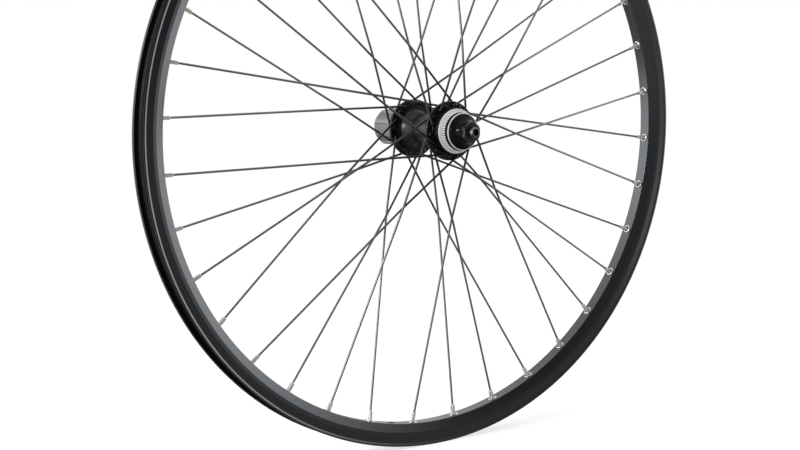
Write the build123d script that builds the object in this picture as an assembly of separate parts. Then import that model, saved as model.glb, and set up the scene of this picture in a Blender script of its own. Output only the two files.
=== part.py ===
from build123d import *
from math import acos, cos, radians, sin, sqrt, tan
import os

# Bicycle rear wheel for a disc brake and a splined cassette, without tyre, in millimetres.
# The origin is the wheel's centre. The axle lies along Y with the drive side at +Y,
# +Z is up, and angles about the axle are measured from +X towards +Z.

# Rim, an extruded double-wall section rolled to a hoop
BEAD_SEAT_RADIUS = 279.5
HOOK_HEIGHT = 6.0
RIM_DEPTH = 20.0
RIM_WIDTH = 21.2
BED_WIDTH = 11.4
BRAKE_WALL_HEIGHT = 8.7
SHOULDER_HEIGHT = 3.1
SHOULDER_STEP = 1.2
SIDE_WALL = 1.5
HOOK_REACH = 0.7
EDGE_CHAMFER = 1.2
TYRE_WELL_WIDTH = 10.4
TYRE_WELL_DEPTH = 3.2
TYRE_WALL = 1.4
BED_WALL = 1.9
ACCESS_HOLE_RADIUS = 4.4
VALVE_HOLE_RADIUS = 3.25
VALVE_ANGLE = -99.5

# Spokes, nipples and eyelets
SPOKE_COUNT = 36
CROSSINGS = 3
WIRE_RADIUS = 1.0
WIRE_SIDES = 8
SPOKE_HEAD_RADIUS = 1.9
SPOKE_HEAD_HEIGHT = 1.3
ELBOW_BEND = 1.0
OUTBOARD_RISE = 2.7
INBOARD_RISE = 1.3
NIPPLE_FLATS = 3.3
NIPPLE_LENGTH = 11.5
NIPPLE_HEAD_RADIUS = 3.2
NIPPLE_HEAD_HEIGHT = 2.2
SPOKE_ENGAGEMENT = 9.0
EYELET_SIDES = 10
EYELET_RADIUS = 4.0
EYELET_BORE_RADIUS = 2.5
EYELET_TUBE_WALL = 0.35
EYELET_LIP_HEIGHT = 0.9

# Hub shell
LEFT_FLANGE_Y = -34.3
RIGHT_FLANGE_Y = 21.2
FLANGE_RADIUS = 26.3
FLANGE_THICKNESS = 3.2
FLANGE_CHAMFER = 0.6
SPOKE_CIRCLE_INSET = 3.8
SPOKE_HOLE_RADIUS = 1.4
FLANGE_BOSS_INSET = 3.1
BARREL_RADIUS = 13.2
BARREL_BORE_RADIUS = 8.6
LEFT_FLARE = 9.0
RIGHT_FLARE = 11.0
RIGHT_STEP_HEIGHT = 3.4
RIGHT_STEP_INSET = 1.8
FREEHUB_SEAT_RADIUS = 12.0
FREEHUB_SEAT_HEIGHT = 1.2

# Splined rotor mount on the left end of the shell
ROTOR_BOSS_INSET = 2.2
ROTOR_BOSS_LENGTH = 7.8
ROTOR_SHOULDER_RADIUS = 19.7
ROTOR_SHOULDER_LENGTH = 1.4
ROTOR_SPLINE_RADIUS = 17.25
ROTOR_SPLINE_DEPTH = 0.7
ROTOR_SPLINE_LENGTH = 5.9
ROTOR_SPLINE_TEETH = 52
ROTOR_GROOVE_LENGTH = 2.0
ROTOR_GROOVE_RADIUS = 16.1
ROTOR_SEAT_RADIUS = 15.5
ROTOR_LIP_LENGTH = 1.0
ROTOR_LIP_RADIUS = 16.9
LOCKRING_THREAD_RADIUS = 14.8
LOCKRING_THREAD_DEPTH = 2.8

# Axle and what is screwed on it
OVER_LOCKNUTS = 135.0
AXLE_LENGTH = 145.0
AXLE_RADIUS = 5.0
AXLE_END_RADIUS = 4.8
AXLE_BORE_RADIUS = 2.75
AXLE_TIP_RADIUS = 3.8
AXLE_TAPER = 2.2
LOCKNUT_FLATS = 17.0
LOCKNUT_CORNER_RADIUS = 9.4
LOCKNUT_THICKNESS = 4.0
SPACER_RADIUS = 8.2
SPACER_THICKNESS = 1.5

# Cup and cone bearings
BALL_RADIUS = 3.175
BALL_COUNT = 9
BALL_CIRCLE_RADIUS = 9.5
BALL_DEPTH = 5.5
CUP_RADIUS = 14.0
CUP_BORE_RADIUS = 12.9
CUP_THROAT_RADIUS = 8.5
CUP_FLOOR = 1.0
CONE_TIP_RADIUS = 5.9
CONE_RADIUS = 9.0
LEFT_COLLAR_LENGTH = 4.5
RIGHT_COLLAR_LENGTH = 1.5
CONE_NECK_RADIUS = 7.6

# Dust boot on the left and dust ring on the right
BOOT_INSET = 0.8
BOOT_EDGE_LENGTH = 1.6
BOOT_WAIST_RADIUS = 11.2
BOOT_WAIST_HEIGHT = 2.4
BOOT_NOSE_RADIUS = 9.25
BOOT_NOSE_LENGTH = 3.0
DUST_RING_THICKNESS = 1.2

# Freehub: splined driver, core, bearing cup and hollow fixing bolt
DRIVER_GAP = 1.0
DRIVER_LENGTH = 36.5
DRIVER_SPLINE_RADIUS = 17.25
DRIVER_ROOT_RADIUS = 16.2
DRIVER_RIDGES = 9
DRIVER_RIDGE_WIDTH = 4.2
DRIVER_WIDE_RIDGE = 6.0
DRIVER_STOP_RADIUS = 17.9
DRIVER_STOP_LENGTH = 2.0
DRIVER_BORE_RADIUS = 15.0
CORE_RADIUS = 11.6
CORE_LENGTH = 27.0
PAWL_LAND_RADIUS = 12.6
PAWL_LAND_MARGIN = 1.0
RATCHET_TEETH = 36
RATCHET_TIP_RADIUS = 13.4
RATCHET_ROOT_RADIUS = 14.9
RATCHET_START = 8.0
RATCHET_LENGTH = 10.0
SMALL_BALL_RADIUS = 1.59
SMALL_BALL_COUNT = 25
FREEHUB_CUP_RADIUS = 13.6
FREEHUB_CUP_LENGTH = 10.0
FREEHUB_NECK_RADIUS = 10.4
FREEHUB_NECK_LENGTH = 5.0
BOLT_RADIUS = 7.4
BOLT_BORE_RADIUS = 5.7
BOLT_HEAD_RADIUS = 8.2
BOLT_HEAD_LENGTH = 5.0
BOLT_THREAD_LENGTH = 14.0
OUTER_SEAL_LENGTH = 2.5
INNER_SEAL_LENGTH = 1.0

# Pawls and their ring spring
PAWL_COUNT = 2
PAWL_PIVOT_CIRCLE = 11.4
PAWL_PIVOT_RADIUS = 1.5
PAWL_ARM_HALF = 0.9
PAWL_SPAN_ANGLE = 30.0
PAWL_NOSE_RADIUS = 14.0
PAWL_NOSE_DEPTH = 1.6
PAWL_NOSE_ROOM = 3.5
PAWL_TRAVEL = 14.0
PAWL_RELIEF_ANGLE = 7.0
SPRING_RADIUS = 12.0
SPRING_THICKNESS = 0.4
SPRING_WIDTH = 0.8

# Clearances: seats that don't move, the woven spokes, running parts and pawl pivots
SEAT_GAP = 0.05
WEAVE_GAP = 0.05
RUNNING_GAP = 0.3
PIVOT_GAP = 0.15

# Places that follow from the sizes above
RIM_RADIUS = BEAD_SEAT_RADIUS + HOOK_HEIGHT
BED_RADIUS = RIM_RADIUS - RIM_DEPTH
WELL_RADIUS = BEAD_SEAT_RADIUS - TYRE_WELL_DEPTH
WELL_CEILING = WELL_RADIUS - TYRE_WALL
NIPPLE_SEAT_RADIUS = BED_RADIUS + BED_WALL
HOLE_PITCH = 360.0 / SPOKE_COUNT
FIRST_SPOKE_ANGLE = VALVE_ANGLE + HOLE_PITCH / 2
SPOKE_SWEEP = 2 * CROSSINGS * HOLE_PITCH
WIRE_CORNER = WIRE_RADIUS * sqrt(radians(360) / (WIRE_SIDES * sin(radians(360 / WIRE_SIDES))))
SPOKE_CIRCLE_RADIUS = FLANGE_RADIUS - SPOKE_CIRCLE_INSET
FLANGE_BOSS_RADIUS = SPOKE_CIRCLE_RADIUS - FLANGE_BOSS_INSET
RIGHT_STEP_RADIUS = FLANGE_BOSS_RADIUS - RIGHT_STEP_INSET
ROTOR_BOSS_RADIUS = SPOKE_CIRCLE_RADIUS - ROTOR_BOSS_INSET
LEFT_FACE = LEFT_FLANGE_Y - FLANGE_THICKNESS / 2
LEFT_INNER_FACE = LEFT_FLANGE_Y + FLANGE_THICKNESS / 2
RIGHT_INNER_FACE = RIGHT_FLANGE_Y - FLANGE_THICKNESS / 2
RIGHT_FACE = RIGHT_FLANGE_Y + FLANGE_THICKNESS / 2
ROTOR_SHOULDER_START = LEFT_FACE - ROTOR_BOSS_LENGTH
ROTOR_FACE = ROTOR_SHOULDER_START - ROTOR_SHOULDER_LENGTH
ROTOR_SPLINE_END = ROTOR_FACE - ROTOR_SPLINE_LENGTH
ROTOR_LIP_START = ROTOR_SPLINE_END - ROTOR_GROOVE_LENGTH
SHELL_LEFT_END = ROTOR_LIP_START - ROTOR_LIP_LENGTH
SHELL_RIGHT_END = RIGHT_FACE + FREEHUB_SEAT_HEIGHT
LOCKNUT_FACE = OVER_LOCKNUTS / 2
LOCKNUT_INNER = LOCKNUT_FACE - LOCKNUT_THICKNESS
CONE_END = LOCKNUT_INNER - SPACER_THICKNESS
DRIVER_START = SHELL_RIGHT_END + DRIVER_GAP
DRIVER_END = DRIVER_START + DRIVER_LENGTH
CORE_END = SHELL_RIGHT_END + CORE_LENGTH
NECK_START = CORE_END - FREEHUB_NECK_LENGTH
FREEHUB_CUP_END = CORE_END + FREEHUB_CUP_LENGTH
RATCHET_Y = SHELL_RIGHT_END + RATCHET_START
RATCHET_END = RATCHET_Y + RATCHET_LENGTH
BOLT_HEAD_START = NECK_START - BOLT_HEAD_LENGTH
LEFT_BALL_Y = SHELL_LEFT_END + BALL_DEPTH
RIGHT_BALL_Y = FREEHUB_CUP_END - BALL_DEPTH
RACE_REACH = sqrt(2) * BALL_RADIUS
SMALL_BALL_CIRCLE = (CORE_RADIUS + DRIVER_BORE_RADIUS) / 2
INNER_ROW_Y = (DRIVER_START + INNER_SEAL_LENGTH + RATCHET_Y) / 2
OUTER_ROW_Y = (RATCHET_END + CORE_END) / 2
SPRING_Y = (RATCHET_Y + RATCHET_END) / 2

os.makedirs("parts", exist_ok=True)


def save(node, *pieces):
    """Write one node, as one solid or as a group of separate solids."""
    solids = [solid for piece in pieces for solid in piece.solids()]
    export_step(solids[0] if len(solids) == 1 else Compound(solids), f"parts/{node}.step")


def turned(*lines):
    """A solid of revolution about the axle, from lines drawn in (radius, y)."""
    return revolve(make_face(lines), Axis.Y)


def turned_points(*points):
    """A solid of revolution about the axle, from the (radius, y) corners of its section."""
    return turned(Polyline(*points, close=True))


def ring(inner, outer, y_from, y_to):
    """A plain ring about the axle."""
    return turned_points((inner, y_from), (outer, y_from), (outer, y_to), (inner, y_to))


def along_axle(sketch, y_from, y_to):
    """Extrude a sketch drawn in X and Z along the axle."""
    return extrude(Plane.XZ.offset(-y_from) * sketch, y_from - y_to)


def at_angle(radius, angle, y=0.0):
    """The point at a radius and an angle about the axle."""
    return Vector(radius * cos(radians(angle)), y, radius * sin(radians(angle)))


def flat_point(radius, angle):
    """The same point in a sketch drawn in X and Z."""
    return Vector(radius * cos(radians(angle)), radius * sin(radians(angle)))


def around_axle(solid, angle):
    """A solid turned about the axle, from +X towards +Z."""
    return Rot(0, -angle, 0) * solid


def radial_prism(corner_radius, sides, inner, outer):
    """A many-sided prism along +X, between two radii."""
    return extrude(Plane.YZ.offset(inner) * RegularPolygon(corner_radius, sides), outer - inner)


def corner_of(flat_radius, sides):
    """Corner radius of a regular polygon whose flats lie at a radius."""
    return flat_radius / cos(radians(180 / sides))


def spoke_angle(index):
    """The angle of a spoke hole in the rim, counted from the one after the valve."""
    return FIRST_SPOKE_ANGLE + index * HOLE_PITCH


def both_halves(points):
    """A section symmetric about the wheel's middle, from the (radius, y) points of one half."""
    return points + [(r, -y) for r, y in reversed(points)]


def make_rim():
    """One hoop: spoke bed, sloped walls, side walls, hooked edges and tyre well, hollow between."""
    half = RIM_WIDTH / 2
    wall_foot = RIM_RADIUS - BRAKE_WALL_HEIGHT
    slope_top = wall_foot - SHOULDER_HEIGHT
    inner = half - SIDE_WALL
    section = both_halves([
        (BED_RADIUS, BED_WIDTH / 2),
        (slope_top, half - SHOULDER_STEP),
        (wall_foot, half),
        (RIM_RADIUS - EDGE_CHAMFER, half),
        (RIM_RADIUS, half - EDGE_CHAMFER / 2),
        (RIM_RADIUS - EDGE_CHAMFER, inner - HOOK_REACH),
        (RIM_RADIUS - 2 * EDGE_CHAMFER, inner),
        (BEAD_SEAT_RADIUS, inner),
        (BEAD_SEAT_RADIUS, (TYRE_WELL_WIDTH + TYRE_WELL_DEPTH) / 2),
        (WELL_RADIUS, TYRE_WELL_WIDTH / 2),
    ])
    slope = (half - SHOULDER_STEP - BED_WIDTH / 2) / (slope_top - BED_RADIUS)
    chamber = both_halves([
        (NIPPLE_SEAT_RADIUS, BED_WIDTH / 2 + slope * BED_WALL - SIDE_WALL),
        (slope_top, half - SHOULDER_STEP - SIDE_WALL),
        (BEAD_SEAT_RADIUS - TYRE_WALL, inner - TYRE_WALL / 2),
        (WELL_CEILING, TYRE_WELL_WIDTH / 2),
    ])
    hoop = turned_points(*section) - turned_points(*chamber)
    middle = (NIPPLE_SEAT_RADIUS + WELL_CEILING) / 2
    tube = EYELET_BORE_RADIUS + EYELET_TUBE_WALL + SEAT_GAP
    bed_hole = radial_prism(corner_of(tube, EYELET_SIDES), EYELET_SIDES, BED_RADIUS - BED_WALL, middle)
    access_hole = radial_prism(ACCESS_HOLE_RADIUS, EYELET_SIDES, middle, RIM_RADIUS)
    cuts = [around_axle(hole, spoke_angle(i)) for i in range(SPOKE_COUNT) for hole in (bed_hole, access_hole)]
    valve = Plane.YZ.offset(BED_RADIUS - RIM_DEPTH) * Circle(VALVE_HOLE_RADIUS)
    cuts.append(around_axle(extrude(valve, 2 * RIM_DEPTH), VALVE_ANGLE))
    return hoop - cuts


def make_eyelet(index):
    """A pressed eyelet: a lip on the spoke bed and a short tube through it."""
    tube = corner_of(EYELET_BORE_RADIUS + EYELET_TUBE_WALL, EYELET_SIDES)
    bore = corner_of(EYELET_BORE_RADIUS, EYELET_SIDES)
    lip_top = BED_RADIUS - SEAT_GAP
    lip_foot = lip_top - EYELET_LIP_HEIGHT
    eyelet = radial_prism(EYELET_RADIUS, EYELET_SIDES, lip_foot, lip_top)
    eyelet += radial_prism(tube, EYELET_SIDES, lip_foot, NIPPLE_SEAT_RADIUS)
    eyelet -= radial_prism(bore, EYELET_SIDES, BED_RADIUS - RIM_DEPTH, RIM_RADIUS)
    return around_axle(eyelet, spoke_angle(index))


def spoke_side(index):
    """-1 for a spoke of the left flange and 1 for one of the right, alternating round the rim."""
    return -1 if index % 2 == 0 else 1


def spoke_lean(index):
    """1 for a spoke that runs on the outboard face of its flange, -1 for one on the inboard face."""
    return 1 if index % 4 < 2 else -1


def spoke_route(index):
    """Head, elbow corner, last crossing and nipple seat of one spoke, on its centre line."""
    side = spoke_side(index)
    lean = spoke_lean(index)
    rim_angle = spoke_angle(index)
    hub_angle = rim_angle + lean * SPOKE_SWEEP
    flange = LEFT_FLANGE_Y if side < 0 else RIGHT_FLANGE_Y
    outboard_wire = flange + side * (FLANGE_THICKNESS / 2 + OUTBOARD_RISE)
    inboard_wire = flange - side * (FLANGE_THICKNESS / 2 + INBOARD_RISE)
    wire_y = outboard_wire if lean > 0 else inboard_wire
    head_y = flange - lean * side * (FLANGE_THICKNESS / 2 + SEAT_GAP + SPOKE_HEAD_HEIGHT)
    apart = SPOKE_SWEEP - HOLE_PITCH
    hub_across = SPOKE_CIRCLE_RADIUS * sin(radians(apart))
    hub_along = SPOKE_CIRCLE_RADIUS * cos(radians(apart))
    rim_across = NIPPLE_SEAT_RADIUS * sin(radians(HOLE_PITCH))
    rim_along = NIPPLE_SEAT_RADIUS * cos(radians(HOLE_PITCH))
    share = hub_across / (hub_across + rim_across)
    cross_radius = hub_along + share * (rim_along - hub_along)
    cross_y = (1 - share) * (outboard_wire + inboard_wire) / 2 - lean * side * (WIRE_CORNER + WEAVE_GAP)
    head = at_angle(SPOKE_CIRCLE_RADIUS, hub_angle, head_y)
    corner = at_angle(SPOKE_CIRCLE_RADIUS, hub_angle, wire_y)
    crossing = at_angle(cross_radius, rim_angle + lean * HOLE_PITCH, cross_y)
    seat = at_angle(NIPPLE_SEAT_RADIUS, rim_angle)
    return head, corner, crossing, seat


def nipple_base(crossing, seat):
    """Where the nipple's head meets its shank, clear of the eyelet when tilted, and the way to the rim."""
    to_rim = (seat - crossing).normalized()
    tilt = acos(min(1.0, to_rim.dot(seat.normalized())))
    return seat + to_rim * (NIPPLE_HEAD_RADIUS * tan(tilt) + SEAT_GAP), to_rim


def make_spoke(index):
    """A wire with a head, an elbow through the flange and a slight bend where it is woven."""
    head, corner, crossing, seat = spoke_route(index)
    base, to_rim = nipple_base(crossing, seat)
    through = (corner - head).normalized()
    along = (crossing - corner).normalized()
    tip = base - to_rim * (NIPPLE_LENGTH - SPOKE_ENGAGEMENT)
    path = Polyline(head, corner - through * ELBOW_BEND, corner + along * ELBOW_BEND, crossing, tip)
    start = Plane(head, z_dir=through)
    wire = sweep(start * RegularPolygon(WIRE_CORNER, WIRE_SIDES), path, transition=Transition.RIGHT)
    return wire + extrude(start * RegularPolygon(SPOKE_HEAD_RADIUS, WIRE_SIDES), SPOKE_HEAD_HEIGHT)


def make_nipple(index):
    """A flat-sided nipple in line with its spoke, its head on the eyelet."""
    head, corner, crossing, seat = spoke_route(index)
    base, to_rim = nipple_base(crossing, seat)
    foot = Plane(base - to_rim * NIPPLE_LENGTH, z_dir=to_rim)
    shank = chamfer(Rectangle(NIPPLE_FLATS, NIPPLE_FLATS).vertices(), NIPPLE_FLATS / 5)
    nipple = extrude(foot * shank, NIPPLE_LENGTH)
    head_outline = RegularPolygon(NIPPLE_HEAD_RADIUS, WIRE_SIDES)
    nipple += extrude(Plane(base, z_dir=to_rim) * head_outline, NIPPLE_HEAD_HEIGHT)
    bore = RegularPolygon(corner_of(WIRE_CORNER + SEAT_GAP, WIRE_SIDES), WIRE_SIDES)
    return nipple - extrude(foot * bore, SPOKE_ENGAGEMENT + SEAT_GAP)


def toothed_outline(teeth, tip, root):
    """A ring of pointed teeth, drawn in X and Z."""
    step = 360 / teeth
    points = []
    for tooth in range(teeth):
        points.append(flat_point(tip, tooth * step))
        points.append(flat_point(root, (tooth + 0.5) * step))
    return Polygon(*points, align=None)


def cup_end():
    """How far a bearing cup's race reaches inward from the ball's centre."""
    return BALL_CIRCLE_RADIUS + RACE_REACH - CUP_THROAT_RADIUS


def make_hub_shell():
    """One forged and turned shell: two drilled flanges, a flared barrel and the bearing seats."""
    edge = FLANGE_RADIUS - FLANGE_CHAMFER
    barrel_left = LEFT_INNER_FACE + LEFT_FLARE
    step_face = RIGHT_INNER_FACE - RIGHT_STEP_HEIGHT
    barrel_right = step_face - RIGHT_FLARE
    cup_floor = LEFT_BALL_Y + cup_end() + CUP_FLOOR + SEAT_GAP
    cup_seat = CUP_RADIUS + SEAT_GAP
    thread = BOLT_RADIUS + SEAT_GAP
    left_end = Polyline(
        (FLANGE_BOSS_RADIUS, LEFT_INNER_FACE),
        (edge, LEFT_INNER_FACE),
        (FLANGE_RADIUS, LEFT_INNER_FACE - FLANGE_CHAMFER),
        (FLANGE_RADIUS, LEFT_FACE + FLANGE_CHAMFER),
        (edge, LEFT_FACE),
        (ROTOR_BOSS_RADIUS, LEFT_FACE),
        (ROTOR_BOSS_RADIUS, ROTOR_SHOULDER_START),
        (ROTOR_SEAT_RADIUS, ROTOR_SHOULDER_START),
        (ROTOR_SEAT_RADIUS, ROTOR_LIP_START + SEAT_GAP),
        (LOCKRING_THREAD_RADIUS, ROTOR_LIP_START + SEAT_GAP),
        (LOCKRING_THREAD_RADIUS, SHELL_LEFT_END + LOCKRING_THREAD_DEPTH),
        (cup_seat, SHELL_LEFT_END + LOCKRING_THREAD_DEPTH),
        (cup_seat, cup_floor),
        (BARREL_BORE_RADIUS, cup_floor),
        (BARREL_BORE_RADIUS, SHELL_RIGHT_END - BOLT_THREAD_LENGTH),
        (thread, SHELL_RIGHT_END - BOLT_THREAD_LENGTH),
        (thread, SHELL_RIGHT_END),
        (FREEHUB_SEAT_RADIUS, SHELL_RIGHT_END),
        (FREEHUB_SEAT_RADIUS, RIGHT_FACE),
        (edge, RIGHT_FACE),
        (FLANGE_RADIUS, RIGHT_FACE - FLANGE_CHAMFER),
        (FLANGE_RADIUS, RIGHT_INNER_FACE + FLANGE_CHAMFER),
        (edge, RIGHT_INNER_FACE),
        (FLANGE_BOSS_RADIUS, RIGHT_INNER_FACE),
        (FLANGE_BOSS_RADIUS, step_face),
        (RIGHT_STEP_RADIUS, step_face),
    )
    barrel = Line((BARREL_RADIUS, barrel_right), (BARREL_RADIUS, barrel_left))
    right_flare = TangentArc(barrel @ 0, (RIGHT_STEP_RADIUS, step_face), tangent=(0, 1))
    left_flare = TangentArc(barrel @ 1, (FLANGE_BOSS_RADIUS, LEFT_INNER_FACE), tangent=(0, -1))
    shell = turned(left_end, right_flare, barrel, left_flare)
    hole = RegularPolygon(corner_of(SPOKE_HOLE_RADIUS, WIRE_SIDES), WIRE_SIDES)
    holes = []
    for index in range(SPOKE_COUNT):
        place = flat_point(SPOKE_CIRCLE_RADIUS, spoke_angle(index) + spoke_lean(index) * SPOKE_SWEEP)
        faces = (LEFT_FACE, LEFT_INNER_FACE) if spoke_side(index) < 0 else (RIGHT_INNER_FACE, RIGHT_FACE)
        holes.append(along_axle(Pos(place.X, place.Y) * hole, *faces))
    return shell - holes


def make_rotor_mount():
    """The ring on the shell's left end: a shoulder, teeth, a groove and a lip threaded for the lockring."""
    seat = ROTOR_SEAT_RADIUS + SEAT_GAP
    shoulder = ROTOR_SHOULDER_START - SEAT_GAP
    sleeve = turned_points(
        (seat, shoulder), (ROTOR_SHOULDER_RADIUS, shoulder), (ROTOR_SHOULDER_RADIUS, ROTOR_FACE),
        (ROTOR_GROOVE_RADIUS, ROTOR_FACE), (ROTOR_GROOVE_RADIUS, ROTOR_LIP_START),
        (ROTOR_LIP_RADIUS, ROTOR_LIP_START), (ROTOR_LIP_RADIUS, SHELL_LEFT_END),
        (LOCKRING_THREAD_RADIUS, SHELL_LEFT_END), (LOCKRING_THREAD_RADIUS, ROTOR_LIP_START),
        (seat, ROTOR_LIP_START),
    )
    root = ROTOR_SPLINE_RADIUS - ROTOR_SPLINE_DEPTH
    teeth = toothed_outline(ROTOR_SPLINE_TEETH, ROTOR_SPLINE_RADIUS, root)
    inside = Circle((seat + ROTOR_GROOVE_RADIUS) / 2)
    return sleeve + along_axle(teeth - inside, ROTOR_SPLINE_END, ROTOR_FACE)


def make_left_cup():
    """The pressed-in steel race of the left bearing."""
    floor = LEFT_BALL_Y + cup_end()
    race_start = floor - (CUP_BORE_RADIUS - CUP_THROAT_RADIUS)
    mouth = SHELL_LEFT_END + LOCKRING_THREAD_DEPTH
    return turned_points(
        (CUP_RADIUS, mouth), (CUP_BORE_RADIUS, mouth), (CUP_BORE_RADIUS, race_start),
        (CUP_THROAT_RADIUS, floor), (CUP_THROAT_RADIUS, floor + CUP_FLOOR), (CUP_RADIUS, floor + CUP_FLOOR),
    )


def make_cone(ball_y, outward, collar):
    """A bearing cone on the axle: 45 degree race, round collar and a neck with the spacer against it."""
    bore = AXLE_RADIUS + SEAT_GAP
    race_start = CONE_TIP_RADIUS + RACE_REACH - BALL_CIRCLE_RADIUS
    race_end = CONE_RADIUS + RACE_REACH - BALL_CIRCLE_RADIUS
    section = [
        (bore, ball_y + outward * race_start),
        (CONE_TIP_RADIUS, ball_y + outward * race_start),
        (CONE_RADIUS, ball_y + outward * race_end),
        (CONE_RADIUS, ball_y + outward * (race_end + collar)),
        (CONE_NECK_RADIUS, ball_y + outward * (race_end + collar)),
        (CONE_NECK_RADIUS, outward * CONE_END),
        (bore, outward * CONE_END),
    ]
    return turned_points(*section)


def faceted_ball(radius):
    """A bearing ball with few faces: a cube with its edges and corners taken off, inside the sphere."""
    reach = radius / sqrt(1.5)
    block = Box(2 * reach, 2 * reach, 2 * reach)
    return block & (Rot(45, 0, 0) * block) & (Rot(0, 45, 0) * block) & (Rot(0, 0, 45) * block)


def ball_row(radius, count, circle_radius, y):
    """A ring of balls about the axle."""
    ball = Pos(circle_radius, y, 0) * faceted_ball(radius)
    return [around_axle(ball, 360 * i / count) for i in range(count)]


def make_boot():
    """The rubber dust boot on the left cone: an edge inside the shell's lip, a dished face and a nose."""
    foot = SHELL_LEFT_END + BOOT_INSET
    edge = foot - BOOT_EDGE_LENGTH
    edge_radius = LOCKRING_THREAD_RADIUS - RUNNING_GAP
    nose_end = -LOCKNUT_INNER + SEAT_GAP
    nose_foot = nose_end + BOOT_NOSE_LENGTH
    collar_end = LEFT_BALL_Y - (CONE_RADIUS + RACE_REACH - BALL_CIRCLE_RADIUS) - LEFT_COLLAR_LENGTH - SEAT_GAP
    on_collar = CONE_RADIUS + SEAT_GAP
    on_spacer = SPACER_RADIUS + SEAT_GAP
    return turned_points(
        (BOOT_NOSE_RADIUS, nose_foot), (BOOT_NOSE_RADIUS, nose_end), (on_spacer, nose_end),
        (on_spacer, collar_end), (on_collar, collar_end), (on_collar, foot),
        (edge_radius, foot), (edge_radius, edge), (BOOT_WAIST_RADIUS, edge - BOOT_WAIST_HEIGHT),
    )


def make_locknut(outward):
    """A hexagonal locknut with rounded corners, one of them up, its outer face against the frame."""
    hexagon = RegularPolygon(corner_of(LOCKNUT_FLATS / 2, 6), 6, rotation=30) & Circle(LOCKNUT_CORNER_RADIUS)
    nut = hexagon - Circle(AXLE_RADIUS + SEAT_GAP)
    return along_axle(nut, outward * LOCKNUT_INNER, outward * LOCKNUT_FACE)


def make_axle():
    """A hollow axle for a quick-release skewer, with plain tapered ends for the frame's dropouts."""
    end = AXLE_LENGTH / 2
    return turned_points(
        (AXLE_BORE_RADIUS, -end), (AXLE_TIP_RADIUS, -end), (AXLE_END_RADIUS, AXLE_TAPER - end),
        (AXLE_END_RADIUS, -LOCKNUT_FACE), (AXLE_RADIUS, -LOCKNUT_FACE),
        (AXLE_RADIUS, LOCKNUT_FACE), (AXLE_END_RADIUS, LOCKNUT_FACE),
        (AXLE_END_RADIUS, end - AXLE_TAPER), (AXLE_TIP_RADIUS, end), (AXLE_BORE_RADIUS, end),
    )


def make_driver():
    """The splined body that carries the sprockets, with a ratchet ring inside."""
    spline_start = DRIVER_START + DRIVER_STOP_LENGTH
    spline = Circle(DRIVER_ROOT_RADIUS)
    for ridge in range(DRIVER_RIDGES):
        width = DRIVER_WIDE_RIDGE if ridge == 0 else DRIVER_RIDGE_WIDTH
        bar = Pos(DRIVER_ROOT_RADIUS, 0) * Rectangle(DRIVER_STOP_LENGTH * 2, width)
        spline += Rot(0, 0, 360 * ridge / DRIVER_RIDGES) * bar
    driver = along_axle(spline & Circle(DRIVER_SPLINE_RADIUS), spline_start, DRIVER_END)
    driver += along_axle(Circle(DRIVER_STOP_RADIUS), DRIVER_START, spline_start)
    driver -= along_axle(Circle(DRIVER_BORE_RADIUS), DRIVER_START, DRIVER_END)
    step = 360 / RATCHET_TEETH
    face_angle = -PAWL_SPAN_ANGLE / 2 - PAWL_NOSE_ROOM
    points = []
    for tooth in range(RATCHET_TEETH):
        points.append(flat_point(RATCHET_TIP_RADIUS, face_angle + tooth * step))
        points.append(flat_point(RATCHET_ROOT_RADIUS, face_angle + tooth * step))
    ratchet = Circle((DRIVER_BORE_RADIUS + DRIVER_ROOT_RADIUS) / 2) - Polygon(*points, align=None)
    return driver + along_axle(ratchet, RATCHET_Y, RATCHET_END)


def pawl_corners(swing):
    """Nose tip, nose foot, pivot and the way across the arm of the first pawl, swung in by an angle."""
    pivot = flat_point(PAWL_PIVOT_CIRCLE, PAWL_SPAN_ANGLE / 2)
    tip = flat_point(PAWL_NOSE_RADIUS, -PAWL_SPAN_ANGLE / 2)
    foot = flat_point(PAWL_NOSE_RADIUS - PAWL_NOSE_DEPTH, -PAWL_SPAN_ANGLE / 2)
    arm = (tip - pivot).normalized()
    across = Vector(-arm.Y, arm.X)
    turn = [(corner - pivot).rotate(Axis.Z, -swing) for corner in (tip, foot)]
    return pivot + turn[0], pivot + turn[1], pivot, across.rotate(Axis.Z, -swing)


def make_pawl():
    """A spring-loaded pawl: a round heel, an arm and a square nose, slotted for the ring spring."""
    tip, foot, pivot, across = pawl_corners(0)
    outline = Polygon(tip, pivot + across * PAWL_ARM_HALF, pivot - across * PAWL_ARM_HALF, foot, align=None)
    outline += Pos(pivot.X, pivot.Y) * Circle(PAWL_PIVOT_RADIUS)
    pawl = along_axle(outline, RATCHET_Y + PIVOT_GAP, RATCHET_END - PIVOT_GAP)
    slot = SPRING_WIDTH / 2 + PIVOT_GAP
    return pawl - ring(SPRING_RADIUS - 2 * RUNNING_GAP, DRIVER_BORE_RADIUS, SPRING_Y - slot, SPRING_Y + slot)


def make_pawl_pocket():
    """What is milled out of the core so that the first pawl can swing in."""
    tip, foot, pivot, across = pawl_corners(PAWL_TRAVEL)
    below = PAWL_ARM_HALF + PIVOT_GAP
    floor_end = foot - across * PIVOT_GAP + (foot - pivot).normalized() * PIVOT_GAP * 2
    outside = PAWL_LAND_RADIUS + PAWL_ARM_HALF
    pocket = Polygon(
        flat_point(outside, -PAWL_SPAN_ANGLE / 2 - PAWL_RELIEF_ANGLE),
        flat_point(outside, PAWL_SPAN_ANGLE / 2),
        pivot - across * below,
        floor_end,
        align=None,
    )
    pocket += Pos(pivot.X, pivot.Y) * Circle(PAWL_PIVOT_RADIUS + PIVOT_GAP)
    return along_axle(pocket, RATCHET_Y, RATCHET_END)


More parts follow.
